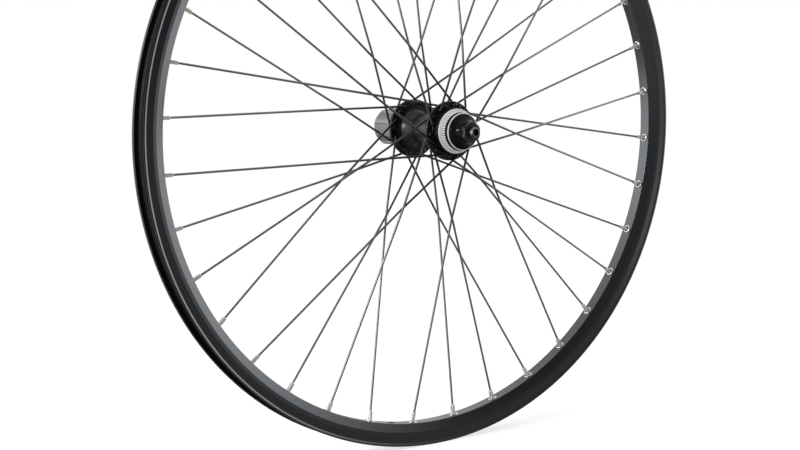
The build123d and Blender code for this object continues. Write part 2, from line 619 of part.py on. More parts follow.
def make_core():
    """The fixed inside of the freehub, bolted to the shell, with pawl pockets and a spring groove."""
    land_start = RATCHET_Y - PAWL_LAND_MARGIN
    land_end = RATCHET_END + PAWL_LAND_MARGIN
    neck = FREEHUB_NECK_RADIUS + SEAT_GAP
    bolt_head = BOLT_HEAD_RADIUS + SEAT_GAP
    bolt = BOLT_RADIUS + SEAT_GAP
    core = turned_points(
        (bolt, SHELL_RIGHT_END), (CORE_RADIUS, SHELL_RIGHT_END), (CORE_RADIUS, land_start),
        (PAWL_LAND_RADIUS, land_start), (PAWL_LAND_RADIUS, land_end), (CORE_RADIUS, land_end),
        (CORE_RADIUS, CORE_END), (neck, CORE_END), (neck, NECK_START), (bolt_head, NECK_START),
        (bolt_head, BOLT_HEAD_START), (bolt, BOLT_HEAD_START),
    )
    groove = SPRING_WIDTH / 2 + SEAT_GAP
    core -= ring(SPRING_RADIUS - SEAT_GAP, DRIVER_BORE_RADIUS, SPRING_Y - groove, SPRING_Y + groove)
    pocket = make_pawl_pocket()
    return core - [around_axle(pocket, 360 * i / PAWL_COUNT) for i in range(PAWL_COUNT)]


def make_freehub_cup():
    """The cup screwed into the core's outer end, with the race of the right bearing."""
    race_floor = RIGHT_BALL_Y - cup_end()
    race_end = race_floor + CUP_BORE_RADIUS - CUP_THROAT_RADIUS
    return turned_points(
        (CUP_THROAT_RADIUS, NECK_START), (FREEHUB_NECK_RADIUS, NECK_START),
        (FREEHUB_NECK_RADIUS, CORE_END), (FREEHUB_CUP_RADIUS, CORE_END),
        (FREEHUB_CUP_RADIUS, FREEHUB_CUP_END), (CUP_BORE_RADIUS, FREEHUB_CUP_END),
        (CUP_BORE_RADIUS, race_end), (CUP_THROAT_RADIUS, race_floor),
    )


def make_bolt():
    """The hollow bolt that holds the freehub core on the shell."""
    start = SHELL_RIGHT_END - BOLT_THREAD_LENGTH
    head_end = NECK_START - SEAT_GAP
    return turned_points(
        (BOLT_BORE_RADIUS, start), (BOLT_RADIUS, start), (BOLT_RADIUS, BOLT_HEAD_START),
        (BOLT_HEAD_RADIUS, BOLT_HEAD_START), (BOLT_HEAD_RADIUS, head_end), (BOLT_BORE_RADIUS, head_end),
    )


# Rim and spokes
spoke_indices = range(SPOKE_COUNT)
save("rim", make_rim())
save("spoke_eyelets", *[make_eyelet(i) for i in spoke_indices])
save("spoke_nipples", *[make_nipple(i) for i in spoke_indices])
for name, group in (("left_outboard", 0), ("right_outboard", 1), ("left_inboard", 2), ("right_inboard", 3)):
    save(f"{name}_spokes", *[make_spoke(i) for i in spoke_indices if i % 4 == group])

# Hub shell and left bearing
save("hub_shell", make_hub_shell())
save("rotor_mount", make_rotor_mount())
save("left_bearing_cup", make_left_cup())
save("left_bearing_balls", *ball_row(BALL_RADIUS, BALL_COUNT, BALL_CIRCLE_RADIUS, LEFT_BALL_Y))

# Freehub core and what turns with the shell
save("freehub_core", make_core())
save("freehub_bolt", make_bolt())
save("freehub_bearing_cup", make_freehub_cup())
save("right_bearing_balls", *ball_row(BALL_RADIUS, BALL_COUNT, BALL_CIRCLE_RADIUS, RIGHT_BALL_Y))
save("freehub_inner_balls", *ball_row(SMALL_BALL_RADIUS, SMALL_BALL_COUNT, SMALL_BALL_CIRCLE, INNER_ROW_Y))
save("freehub_outer_balls", *ball_row(SMALL_BALL_RADIUS, SMALL_BALL_COUNT, SMALL_BALL_CIRCLE, OUTER_ROW_Y))
spring_half = SPRING_WIDTH / 2
spring = ring(SPRING_RADIUS, SPRING_RADIUS + SPRING_THICKNESS, SPRING_Y - spring_half, SPRING_Y + spring_half)
save("pawl_spring", spring)
inner_seal_edge = DRIVER_BORE_RADIUS - RUNNING_GAP
inner_seal_end = DRIVER_START + INNER_SEAL_LENGTH
save("freehub_inner_seal", ring(CORE_RADIUS + SEAT_GAP, inner_seal_edge, DRIVER_START, inner_seal_end))
pawl = make_pawl()
save("first_pawl", pawl)
save("second_pawl", around_axle(pawl, 360 / PAWL_COUNT))

# Freehub driver and its outer seal
save("freehub_driver", make_driver())
seal_edge = FREEHUB_CUP_RADIUS + RUNNING_GAP
seal_start = FREEHUB_CUP_END - OUTER_SEAL_LENGTH
save("freehub_outer_seal", ring(seal_edge, DRIVER_BORE_RADIUS - SEAT_GAP, seal_start, FREEHUB_CUP_END))

# Axle and what is screwed on it
save("axle", make_axle())
save("left_cone", make_cone(LEFT_BALL_Y, -1, LEFT_COLLAR_LENGTH))
save("right_cone", make_cone(RIGHT_BALL_Y, 1, RIGHT_COLLAR_LENGTH))
save("left_dust_boot", make_boot())
dust_ring_start = RIGHT_BALL_Y + CONE_RADIUS + RACE_REACH - BALL_CIRCLE_RADIUS
dust_ring_end = dust_ring_start + DUST_RING_THICKNESS
dust_ring_edge = CUP_BORE_RADIUS - RUNNING_GAP
save("right_dust_ring", ring(CONE_RADIUS + SEAT_GAP, dust_ring_edge, dust_ring_start, dust_ring_end))
for name, outward in (("left", -1), ("right", 1)):
    faces = sorted((outward * CONE_END, outward * LOCKNUT_INNER))
    save(f"{name}_spacer", ring(AXLE_RADIUS + SEAT_GAP, SPACER_RADIUS, *faces))
    save(f"{name}_locknut", make_locknut(outward))
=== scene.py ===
import math

import bmesh
import bpy
from mathutils import Matrix, Vector


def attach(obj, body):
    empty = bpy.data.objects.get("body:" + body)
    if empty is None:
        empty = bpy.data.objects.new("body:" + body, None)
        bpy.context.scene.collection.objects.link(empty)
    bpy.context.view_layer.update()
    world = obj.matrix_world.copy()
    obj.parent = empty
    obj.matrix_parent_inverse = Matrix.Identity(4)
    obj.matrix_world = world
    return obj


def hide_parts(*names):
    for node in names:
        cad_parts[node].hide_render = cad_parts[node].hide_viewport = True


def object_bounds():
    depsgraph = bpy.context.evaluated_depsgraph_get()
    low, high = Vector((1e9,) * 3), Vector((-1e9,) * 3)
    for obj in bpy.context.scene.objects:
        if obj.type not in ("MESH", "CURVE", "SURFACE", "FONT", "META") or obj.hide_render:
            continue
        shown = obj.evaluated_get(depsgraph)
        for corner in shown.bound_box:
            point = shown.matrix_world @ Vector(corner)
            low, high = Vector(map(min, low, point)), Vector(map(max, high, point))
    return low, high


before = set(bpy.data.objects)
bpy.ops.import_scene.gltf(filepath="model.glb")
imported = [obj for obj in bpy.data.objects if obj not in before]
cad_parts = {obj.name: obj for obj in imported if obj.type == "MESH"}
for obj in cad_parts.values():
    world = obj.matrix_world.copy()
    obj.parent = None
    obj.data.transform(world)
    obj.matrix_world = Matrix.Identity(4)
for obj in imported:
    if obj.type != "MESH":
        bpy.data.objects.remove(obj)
cad_box = [list(corner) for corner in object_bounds()]
scene = bpy.context.scene


# Camera
# It stands low, to the left of the brake side, and is both tipped and shifted down a little,
# because the wheel's middle lies above the middle of the picture and its top is cut off.
CAMERA_TURN = math.radians(-35.6159)
CAMERA_RISE = math.radians(3.5373)
CAMERA_ROLL = math.radians(-0.701)
CAMERA_TIP = math.radians(-1.1327)
CAMERA_PAN = math.radians(0.3161)
CAMERA_DISTANCE = 1.48428
PICTURE_WIDTH = 800
PICTURE_HEIGHT = 450
FOCAL_LENGTH_IN_PIXELS = 1649.21
LENS_AXIS_IN_PICTURE = (418.08, 161.67)

back = Vector((
    math.sin(CAMERA_TURN) * math.cos(CAMERA_RISE),
    -math.cos(CAMERA_TURN) * math.cos(CAMERA_RISE),
    math.sin(CAMERA_RISE),
))
level = Vector((math.cos(CAMERA_TURN), math.sin(CAMERA_TURN), 0.0))
roll = Matrix.Rotation(CAMERA_ROLL, 3, back)
right = roll @ level
up = roll @ back.cross(level)
lens = bpy.data.cameras.new("camera")
lens.sensor_width = 36.0
lens.lens = lens.sensor_width * FOCAL_LENGTH_IN_PIXELS / PICTURE_WIDTH
lens.shift_x = (PICTURE_WIDTH / 2 - LENS_AXIS_IN_PICTURE[0]) / PICTURE_WIDTH
lens.shift_y = (LENS_AXIS_IN_PICTURE[1] - PICTURE_HEIGHT / 2) / PICTURE_WIDTH
camera = bpy.data.objects.new("camera", lens)
aim = Matrix.Rotation(CAMERA_TIP, 3, "X") @ Matrix.Rotation(CAMERA_PAN, 3, "Y")
camera.matrix_world = (Matrix((right, up, back)).transposed() @ aim).to_4x4()
camera.location = back * CAMERA_DISTANCE
scene.collection.objects.link(camera)
scene.camera = camera
scene.view_settings.view_transform = "Standard"


# Floor and light
# A pale paper floor in a white studio, with a broad soft lamp above and a small one at the left. Metal
# also mirrors bright panels at the wheel's two edges and dim ends before and behind it, so that black
# metal stays black.
FLOOR_COLOUR = "#9c9c9c"
FLOOR_GLOW = 0.74
FLOOR_NEAR = 0.35
FLOOR_FAR = 1.2
FLOOR_REACH = 6.0
STUDIO_LIGHT = 0.8
SIDE_PANELS = 2.5
DIM_FRONT = 0.19
DIM_FLOOR = 0.38
BACK_SHARE = 0.2
CEILING_SHARE = 0.45
FRONT_WAY = (-0.09, -1.0, 0.05)
FRONT_FADE = (0.22, 0.72)
BACK_FADE = (-0.71, -0.87)
CEILING_FADE = (0.2, 0.7)
WHITE = (1.0, 1.0, 1.0, 1.0)
SOFTBOXES = [
    ("overhead_softbox", 2.2, 7.0, (0.3, -0.1, 1.9)),
    ("left_softbox", 0.2, 11.0, (-1.5, -0.3, 0.4)),
]


def linear(code):
    """The linear colour of an sRGB hex value."""
    shares = [int(code[place:place + 2], 16) / 255 for place in (1, 3, 5)]
    return [s / 12.92 if s <= 0.04045 else ((s + 0.055) / 1.055) ** 2.4 for s in shares] + [1.0]


def plug(tree, node, inputs):
    """Gives a node its inputs, each a plain value or another node's output."""
    for name, value in inputs.items():
        if isinstance(value, bpy.types.NodeSocket):
            tree.links.new(value, node.inputs[name])
        else:
            node.inputs[name].default_value = value


def add(tree, kind, inputs=None, **settings):
    """Adds one node with its settings and its inputs."""
    node = tree.nodes.new("ShaderNode" + kind)
    for name, value in settings.items():
        setattr(node, name, value)
    plug(tree, node, inputs or {})
    return node


def studio_white(tree, way, dimmest):
    """Which rays are the camera's, which come from metal or glass, and how bright these find that way."""
    path = add(tree, "LightPath")
    shiny = add(tree, "Math", {0: path.outputs["Is Glossy Ray"], 1: path.outputs["Is Transmission Ray"]},
                operation="MAXIMUM")
    facing = add(tree, "VectorMath", {0: way, 1: Vector(FRONT_WAY).normalized()}, operation="DOT_PRODUCT")
    rise = add(tree, "SeparateXYZ", {0: way})
    bright = 1.0
    for measure, (start, end), before, after in (
            (facing.outputs["Value"], FRONT_FADE, SIDE_PANELS, dimmest),
            (facing.outputs["Value"], BACK_FADE, 1.0, BACK_SHARE),
            (rise.outputs["Z"], CEILING_FADE, 1.0, CEILING_SHARE)):
        share = add(tree, "MapRange", {"Value": measure, "From Min": start, "From Max": end,
                                       "To Min": before, "To Max": after}, interpolation_type="SMOOTHSTEP")
        bright = add(tree, "Math", {0: bright, 1: share.outputs[0]}, operation="MULTIPLY").outputs[0]
    return path.outputs["Is Camera Ray"], shiny.outputs[0], bright


world = bpy.data.worlds.new("white_studio")
world.use_nodes = True
tree = world.node_tree
tree.nodes.clear()
sky = add(tree, "TexCoord").outputs["Generated"]
camera_ray, shiny_ray, mirrored = studio_white(tree, sky, DIM_FRONT)
softened = add(tree, "Mix", {"Factor": shiny_ray, "A": STUDIO_LIGHT, "B": mirrored})
strength = add(tree, "Mix", {"Factor": camera_ray, "A": softened.outputs[0], "B": 1.0})
white = add(tree, "Background", {"Color": WHITE, "Strength": strength.outputs[0]})
add(tree, "OutputWorld", {"Surface": white.outputs[0]})
scene.world = world

paper = bpy.data.materials.new("pale_paper")
paper.use_nodes = True
tree = paper.node_tree
tree.nodes.clear()
spot = add(tree, "SeparateXYZ", {0: add(tree, "TexCoord").outputs["Object"]})
flat = add(tree, "CombineXYZ", {"X": spot.outputs["X"], "Y": spot.outputs["Y"]})
reach = add(tree, "VectorMath", {0: flat.outputs[0]}, operation="LENGTH")
afar = add(tree, "MapRange", {"Value": reach.outputs["Value"], "From Min": FLOOR_NEAR,
                              "From Max": FLOOR_FAR})
sideways = add(tree, "Math", {0: spot.outputs["X"], 1: afar.outputs[0]}, operation="MULTIPLY")
way = add(tree, "CombineXYZ", {"X": sideways.outputs[0], "Y": spot.outputs["Y"]})
outwards = add(tree, "VectorMath", {0: way.outputs[0]}, operation="NORMALIZE")
camera_ray, shiny_ray, mirrored = studio_white(tree, outwards.outputs["Vector"], DIM_FLOOR)
sheet = add(tree, "BsdfDiffuse", {"Color": linear(FLOOR_COLOUR)})
glow = add(tree, "Math", {0: camera_ray, 1: FLOOR_GLOW}, operation="MULTIPLY")
glowing = add(tree, "Emission", {"Color": WHITE, "Strength": glow.outputs[0]})
lit = add(tree, "AddShader", {0: sheet.outputs[0], 1: glowing.outputs[0]})
reflected = add(tree, "Emission", {"Color": WHITE, "Strength": mirrored})
either = add(tree, "MixShader", {0: shiny_ray, 1: lit.outputs[0], 2: reflected.outputs[0]})
add(tree, "OutputMaterial", {"Surface": either.outputs[0]})

bm = bmesh.new()
bmesh.ops.create_grid(bm, x_segments=1, y_segments=1, size=FLOOR_REACH)
bmesh.ops.translate(bm, verts=bm.verts, vec=(0.0, 0.0, cad_box[0][2]))
mesh = bpy.data.meshes.new("floor")
bm.to_mesh(mesh)
bm.free()
mesh.materials.append(paper)
floor = bpy.data.objects.new("floor", mesh)
scene.collection.objects.link(floor)

for name, size, power, stand in SOFTBOXES:
    lamp = bpy.data.lights.new(name, "AREA")
    lamp.size = size
    lamp.energy = power
    softbox = bpy.data.objects.new(name, lamp)
    facing_wheel = Vector(stand).to_track_quat("Z", "Y").to_matrix().to_4x4()
    softbox.matrix_world = Matrix.Translation(stand) @ facing_wheel
    scene.collection.objects.link(softbox)


# Rim
# One hollow hoop rolled from an extruded aluminium section and anodised black. The die leaves faint
# lines round the hoop. Each side wall is painted a deeper black as shade, below a raised edge whose
# slope is rubbed lighter and painted with a highlight, and the tyre's channel is darker and duller.
MM = 0.001
RIM_STEPS = 216
BED_RADIUS = 265.5
NIPPLE_SEAT = 267.4
RIM_EDGE = 285.5
# Corners of a section: radius, place along the axle and rounding, in mm.
RIM_HALF_SECTION = [
    (BED_RADIUS, 5.7, 0.5), (273.0, 9.25, 0.3), (276.4, 10.0, 0.3), (282.4, 9.85, 0.15),
    (284.0, 10.6, 0.15), (RIM_EDGE, 10.25, 0.3), (284.3, 8.4, 0.35), (283.1, 9.1, 0.4),
    (279.5, 9.1, 0.6), (279.5, 6.8, 0.4), (276.3, 5.2, 0.6),
]
CHAMBER_HALF_SECTION = [(NIPPLE_SEAT, 5.0, 0.5), (273.7, 7.9, 0.5), (278.1, 8.4, 0.5), (274.9, 5.2, 0.5)]
ROUNDING_STEPS = 3
WIDE_ROUNDING = 2.0
WIDE_ROUNDING_STEPS = 12
SPOKES = 36
HOLE_PITCH = 360.0 / SPOKES
VALVE_ANGLE = -99.5
EYELET_HOLE = 2.9
ACCESS_HOLE = 4.4
VALVE_HOLE = 3.25
DRILL_SIDES = 24
DRILL_START = BED_RADIUS - 2.0
EYELET_DRILL_END = 271.0
ACCESS_DRILL_START = 271.5
VALVE_DRILL_START = BED_RADIUS - 5.0
DIE_LINES = 0.7
RIM_CLOUDS = 60.0
RIM_BLACK = "#535557"
# The side walls are painted a deeper black than the rest of the rim, as shade.
WALL_PAINTED_SHADE = "#46484b"
# The raised edge's outer slope is rubbed lighter and also painted with a highlight.
RUBBED_EDGE_AND_HIGHLIGHT = "#5f6163"
DULL_CHANNEL = "#343435"


def spin_section(bm, corners, steps, hollow=False):
    """Rounds the corners of a section where they ask for it and spins it about the axle."""
    wire = [bm.verts.new((radius * MM, along * MM, 0.0)) for radius, along, _ in corners]
    for start, end in zip(wire, wire[1:] + wire[:1]):
        bm.edges.new((start, end))
    before = set(bm.faces)
    for corner, (_, _, rounding) in zip(wire, corners):
        if rounding:
            segments = WIDE_ROUNDING_STEPS if rounding > WIDE_ROUNDING else ROUNDING_STEPS
            bmesh.ops.bevel(bm, geom=[corner], offset=rounding * MM, segments=segments,
                            profile=0.5, affect="VERTICES", material=-1)
    loose = [edge for edge in bm.edges if not edge.link_faces]
    corners_now = list({vert for edge in loose for vert in edge.verts})
    bmesh.ops.spin(bm, geom=corners_now + loose, axis=(0, 1, 0), cent=(0, 0, 0), dvec=(0, 0, 0),
                   angle=math.tau, steps=steps, use_merge=True, use_normal_flip=False, use_duplicate=False)
    made = [face for face in bm.faces if face not in before]
    bmesh.ops.recalc_face_normals(bm, faces=made)
    if hollow:
        bmesh.ops.reverse_faces(bm, faces=made)


def both_halves(half):
    """A section that is the same on both sides of the wheel's middle, from one side's corners."""
    return half + [(radius, -along, rounding) for radius, along, rounding in reversed(half)]


def round_drill(bm, radius, start, end, place):
    """A drill along its own Z between two depths, in mm, set in its place."""
    middle = Matrix.Translation((0.0, 0.0, (start + end) / 2 * MM))
    bmesh.ops.create_cone(bm, cap_ends=True, segments=DRILL_SIDES, radius1=radius * MM, radius2=radius * MM,
                          depth=(end - start) * MM, matrix=place @ middle)


def outward(angle):
    """A place at the wheel's centre whose Z points outwards at an angle about the axle."""
    return Matrix.Rotation(math.radians(90.0 - angle), 4, "Y")


def drilled(bm, drills):
    """The bmesh with the drills taken out of it."""
    blanks = []
    for name, shape in (("blank", bm), ("drills", drills)):
        blank = bpy.data.objects.new(name, bpy.data.meshes.new(name))
        shape.to_mesh(blank.data)
        shape.free()
        scene.collection.objects.link(blank)
        blanks.append(blank)
    cut = blanks[0].modifiers.new("drilling", "BOOLEAN")
    cut.object = blanks[1]
    cut.operation = "DIFFERENCE"
    cut.solver = "EXACT"
    result = bmesh.new()
    result.from_object(blanks[0], bpy.context.evaluated_depsgraph_get())
    for blank in blanks:
        bpy.data.meshes.remove(blank.data)
    return result


def start_material(name):
    """A new material, its node tree and its shader."""
    material = bpy.data.materials.new(name)
    material.use_nodes = True
    return material, material.node_tree, material.node_tree.nodes["Principled BSDF"]


def section_place(tree):
    """Where a point lies in the turned section, its radius, its place along the axle, and the point."""
    point = add(tree, "TexCoord").outputs["Object"]
    apart = add(tree, "SeparateXYZ", {0: point})
    across = add(tree, "CombineXYZ", {"X": apart.outputs["X"], "Z": apart.outputs["Z"]})
    radius = add(tree, "VectorMath", {0: across.outputs[0]}, operation="LENGTH").outputs["Value"]
    along = apart.outputs["Y"]
    place = add(tree, "CombineXYZ", {"X": radius, "Y": along}).outputs[0]
    return place, radius, along, point


def piece(name, bm, material, body, node, sharp=34.0):
    """Finishes a piece at the origin, smooth but for its sharp edges, in the place of a CAD node."""
    mesh = bpy.data.meshes.new(name)
    bm.to_mesh(mesh)
    bm.free()
    mesh.shade_smooth()
    mesh.set_sharp_from_angle(angle=math.radians(sharp))
    mesh.materials.append(material)
    made = bpy.data.objects.new(name, mesh)
    scene.collection.objects.link(made)
    flat_faces = made.modifiers.new("flat_faces", "WEIGHTED_NORMAL")
    flat_faces.keep_sharp = True
    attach(made, body)
    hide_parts(node)


# Anodised aluminium is a dark metal with a soft sheen. Die lines about 0.7 mm apart, drawn coarser
# than the real ones so that they show, and slow clouds in the dye.
anodised_rim, tree, shader = start_material("black_anodised_extruded_aluminium")
place, radius, along, point = section_place(tree)
lines = add(tree, "TexNoise", {"Vector": place, "Scale": 1 / (DIE_LINES * MM), "Detail": 3.0},
            noise_dimensions="2D")
clouds = add(tree, "TexNoise", {"Vector": point, "Scale": 1 / (RIM_CLOUDS * MM), "Detail": 2.0})
sideways = add(tree, "Math", {0: along}, operation="ABSOLUTE").outputs[0]
parts = {}
for part, measure, none, full in (
        ("raised", radius, 282.3, 282.5), ("below_tip", radius, 284.2, 284.0),
        ("outside", sideways, 9.7, 9.8), ("within", sideways, 9.7, 9.5),
        ("beyond_floor", radius, 275.6, 275.8), ("beyond_shoulder", radius, 276.0, 276.6)):
    fade = add(tree, "MapRange", {"Value": measure, "From Min": none * MM, "From Max": full * MM})
    parts[part] = fade.outputs[0]
# The raised edge's outer slope, rubbed lighter and painted with a highlight.
slope = add(tree, "Math", {0: parts["raised"], 1: parts["below_tip"]}, operation="MULTIPLY")
lightened = add(tree, "Math", {0: slope.outputs[0], 1: parts["outside"]}, operation="MULTIPLY")
channel = add(tree, "Math", {0: parts["beyond_floor"], 1: parts["within"]}, operation="MULTIPLY")
# Painted shade: the side walls below the raised edge take the deeper black.
wall_shade_share = add(tree, "Math", {0: parts["beyond_shoulder"], 1: parts["outside"]}, operation="MULTIPLY")
wall_shaded = add(tree, "Mix", {"Factor": wall_shade_share.outputs[0], "A": linear(RIM_BLACK), "B": linear(WALL_PAINTED_SHADE)},
             data_type="RGBA")
dye = add(tree, "MapRange", {"Value": clouds.outputs[0], "To Min": 0.94, "To Max": 1.06})
black = add(tree, "Mix", {"Factor": 1.0, "A": wall_shaded.outputs["Result"], "B": dye.outputs[0]},
            data_type="RGBA", blend_type="MULTIPLY")
edged = add(tree, "Mix", {"Factor": lightened.outputs[0], "A": black.outputs["Result"],
                          "B": linear(RUBBED_EDGE_AND_HIGHLIGHT)}, data_type="RGBA")
colour = add(tree, "Mix", {"Factor": channel.outputs[0], "A": edged.outputs["Result"],
                           "B": linear(DULL_CHANNEL)}, data_type="RGBA")
sheen = add(tree, "MapRange", {"Value": lines.outputs[0], "To Min": 0.2, "To Max": 0.28})
gloss = add(tree, "Mix", {"Factor": channel.outputs[0], "A": sheen.outputs[0], "B": 0.5})
relief = add(tree, "Bump", {"Height": lines.outputs[0], "Strength": 0.05, "Distance": 0.01 * MM})
plug(tree, shader, {"Metallic": 1.0, "Base Color": colour.outputs["Result"],
                    "Roughness": gloss.outputs[0], "Normal": relief.outputs[0]})

bm = bmesh.new()
spin_section(bm, both_halves(RIM_HALF_SECTION), RIM_STEPS)
spin_section(bm, both_halves(CHAMBER_HALF_SECTION), RIM_STEPS, hollow=True)
drills = bmesh.new()
for index in range(SPOKES):
    hole = outward(VALVE_ANGLE + (index + 0.5) * HOLE_PITCH)
    round_drill(drills, EYELET_HOLE, DRILL_START, EYELET_DRILL_END, hole)
    round_drill(drills, ACCESS_HOLE, ACCESS_DRILL_START, RIM_EDGE, hole)
round_drill(drills, VALVE_HOLE, VALVE_DRILL_START, RIM_EDGE, outward(VALVE_ANGLE))
bm = drilled(bm, drills)
piece("rim_hoop", bm, anodised_rim, "wheel", "rim")


# Eyelets
# A bright stainless eyelet pressed into each spoke hole, with a rolled lip on the spoke bed
# and a thin tube through it that the nipple turns in.
EYELET_SECTION = [
    (2.5, -0.75, 0.3), (3.3, -1.0, 0.4), (4.25, -0.4, 0.35), (4.25, -0.05, 0.1),
    (2.85, -0.05, 0.1), (2.85, 1.9, 0.1), (2.5, 1.9, 0.1),
]
EYELET_STEPS = 20
EYELET_SMEARS = 3.0
EYELET_BRIGHT = "#bdbbb8"
EYELET_DULL = "#a9a7a3"


def patchy_metal(name, patch, detail, clean, worn, gloss, metallic=1.0):
    """A metal that goes from clean and glossy to worn and dull in patches of a size in mm."""
    material, tree, shader = start_material(name)
    point = add(tree, "TexCoord").outputs["Object"]
    patches = add(tree, "TexNoise", {"Vector": point, "Scale": 1 / (patch * MM), "Detail": detail})
    colour = add(tree, "Mix", {"Factor": patches.outputs[0], "A": linear(clean), "B": linear(worn)},
                 data_type="RGBA")
    roughness = add(tree, "MapRange", {"Value": patches.outputs[0], "To Min": gloss[0], "To Max": gloss[1]})
    plug(tree, shader, {"Metallic": metallic, "Base Color": colour.outputs["Result"],
                        "Roughness": roughness.outputs[0]})
    return material


# Polished stainless steel: bright as a mirror, with small smears from handling.
bright_steel = patchy_metal("polished_stainless_eyelet", EYELET_SMEARS, 3.0, EYELET_BRIGHT, EYELET_DULL,
                            gloss=(0.12, 0.3))


def copies(bm, one, places):
    """Sets a copy of one small bmesh in each place and frees the one."""
    pattern = bpy.data.meshes.new("pattern")
    one.to_mesh(pattern)
    one.free()
    for place in places:
        before = len(bm.verts)
        bm.from_mesh(pattern)
        bm.verts.ensure_lookup_table()
        bmesh.ops.transform(bm, matrix=place, verts=bm.verts[before:])
    bpy.data.meshes.remove(pattern)


one = bmesh.new()
spin_section(one, EYELET_SECTION, EYELET_STEPS)
bm = bmesh.new()
lay_down = Matrix.Rotation(math.radians(90.0), 4, "X")
to_bed = Matrix.Translation((0.0, 0.0, BED_RADIUS * MM))
seats = [outward(VALVE_ANGLE + (index + 0.5) * HOLE_PITCH) @ to_bed @ lay_down for index in range(SPOKES)]
copies(bm, one, seats)
piece("eyelet_set", bm, bright_steel, "wheel", "spoke_eyelets", sharp=50.0)


# Spokes
# Plain 2 mm steel wires with a black oxide finish: a headed elbow through the flange, three crossings
# on each side with the last one woven, and a thread in the nipple.
WIRE = 1.0
WIRE_SIDES = 12
SPOKE_CIRCLE = 22.5
LEFT_FLANGE = -34.3
RIGHT_FLANGE = 21.2
HALF_FLANGE = 1.6
OUTBOARD_RISE = 2.7
INBOARD_RISE = 1.3
HEAD_HEIGHT = 1.3
HEAD_GAP = 0.05
HEAD_TOP = 0.9
HEAD_STEPS = [(0.25, 1.5), (0.45, 1.85), (0.35, 1.9), (0.25, WIRE)]
ELBOW_REACH = 2.1
ELBOW_STEPS = 6
WEAVE_OFFSET = 1.104
SPOKE_SWEEP = 60.0
NIPPLE_LENGTH = 11.5
NIPPLE_HEAD = 3.2
SPOKE_END = 2.5
OXIDE_BLOTCHES = 5.0
# The wire's colour goes darker towards the hub, from 140 mm in to 30 mm from the axle.
ELBOW_DARKEST_WITHIN = 30.0
ELBOW_DARKENING_REACH = 140.0
SPOKE_OXIDE = "#83817d"
SPOKE_BLOTCH = "#8f8d88"
ELBOW_DARKER_GREY = "#3f3e3c"


def round_axle(radius, angle, along=0.0):
    """The point at a radius and angle about the axle, in mm."""
    return Vector((radius * math.cos(math.radians(angle)), along, radius * math.sin(math.radians(angle))))


def spoke_route(index):
    """Head, elbow corner, last crossing and nipple seat of one spoke, on its middle line, in mm."""
    side = -1 if index % 2 == 0 else 1
    lean = 1 if index % 4 < 2 else -1
    rim_angle = VALVE_ANGLE + (index + 0.5) * HOLE_PITCH
    flange = LEFT_FLANGE if side < 0 else RIGHT_FLANGE
    outboard = flange + side * (HALF_FLANGE + OUTBOARD_RISE)
    inboard = flange - side * (HALF_FLANGE + INBOARD_RISE)
    apart = math.radians(SPOKE_SWEEP - HOLE_PITCH)
    pitch = math.radians(HOLE_PITCH)
    share = SPOKE_CIRCLE * math.sin(apart)
    share /= share + NIPPLE_SEAT * math.sin(pitch)
    hub_along = SPOKE_CIRCLE * math.cos(apart)
    cross_radius = hub_along + share * (NIPPLE_SEAT * math.cos(pitch) - hub_along)
    cross_along = (1 - share) * (outboard + inboard) / 2 - lean * side * WEAVE_OFFSET
    hub_angle = rim_angle + lean * SPOKE_SWEEP
    head_along = flange - lean * side * (HALF_FLANGE + HEAD_GAP + HEAD_HEIGHT)
    head = round_axle(SPOKE_CIRCLE, hub_angle, head_along)
    corner = round_axle(SPOKE_CIRCLE, hub_angle, outboard if lean > 0 else inboard)
    crossing = round_axle(cross_radius, rim_angle + lean * HOLE_PITCH, cross_along)
    return head, corner, crossing, round_axle(NIPPLE_SEAT, rim_angle)


def nipple_base(crossing, seat):
    """Where the nipple's head starts, clear of the eyelet when it is tilted, and the way to the rim."""
    to_rim = (seat - crossing).normalized()
    tilt = math.acos(min(1.0, to_rim.dot(seat.normalized())))
    return seat + to_rim * (NIPPLE_HEAD * math.tan(tilt) + HEAD_GAP), to_rim


def ring_edges(geometry):
    """The edges of a new ring, from what an extrusion or a spin gives back."""
    verts = {item for item in geometry if isinstance(item, bmesh.types.BMVert)}
    return [item for item in geometry if isinstance(item, bmesh.types.BMEdge) and set(item.verts) <= verts]


def draw_out(bm, edges, step, scale=1.0):
    """Extrudes a ring of edges by a step in mm, scales it about its middle and gives the new ring."""
    made = bmesh.ops.extrude_edge_only(bm, edges=edges)["geom"]
    edges = ring_edges(made)
    verts = list({vert for edge in edges for vert in edge.verts})
    bmesh.ops.translate(bm, verts=verts, vec=step * MM)
    if scale != 1.0:
        middle = sum((vert.co for vert in verts), Vector()) / len(verts)
        bmesh.ops.scale(bm, verts=verts, vec=(scale, scale, scale), space=Matrix.Translation(-middle))
    return edges


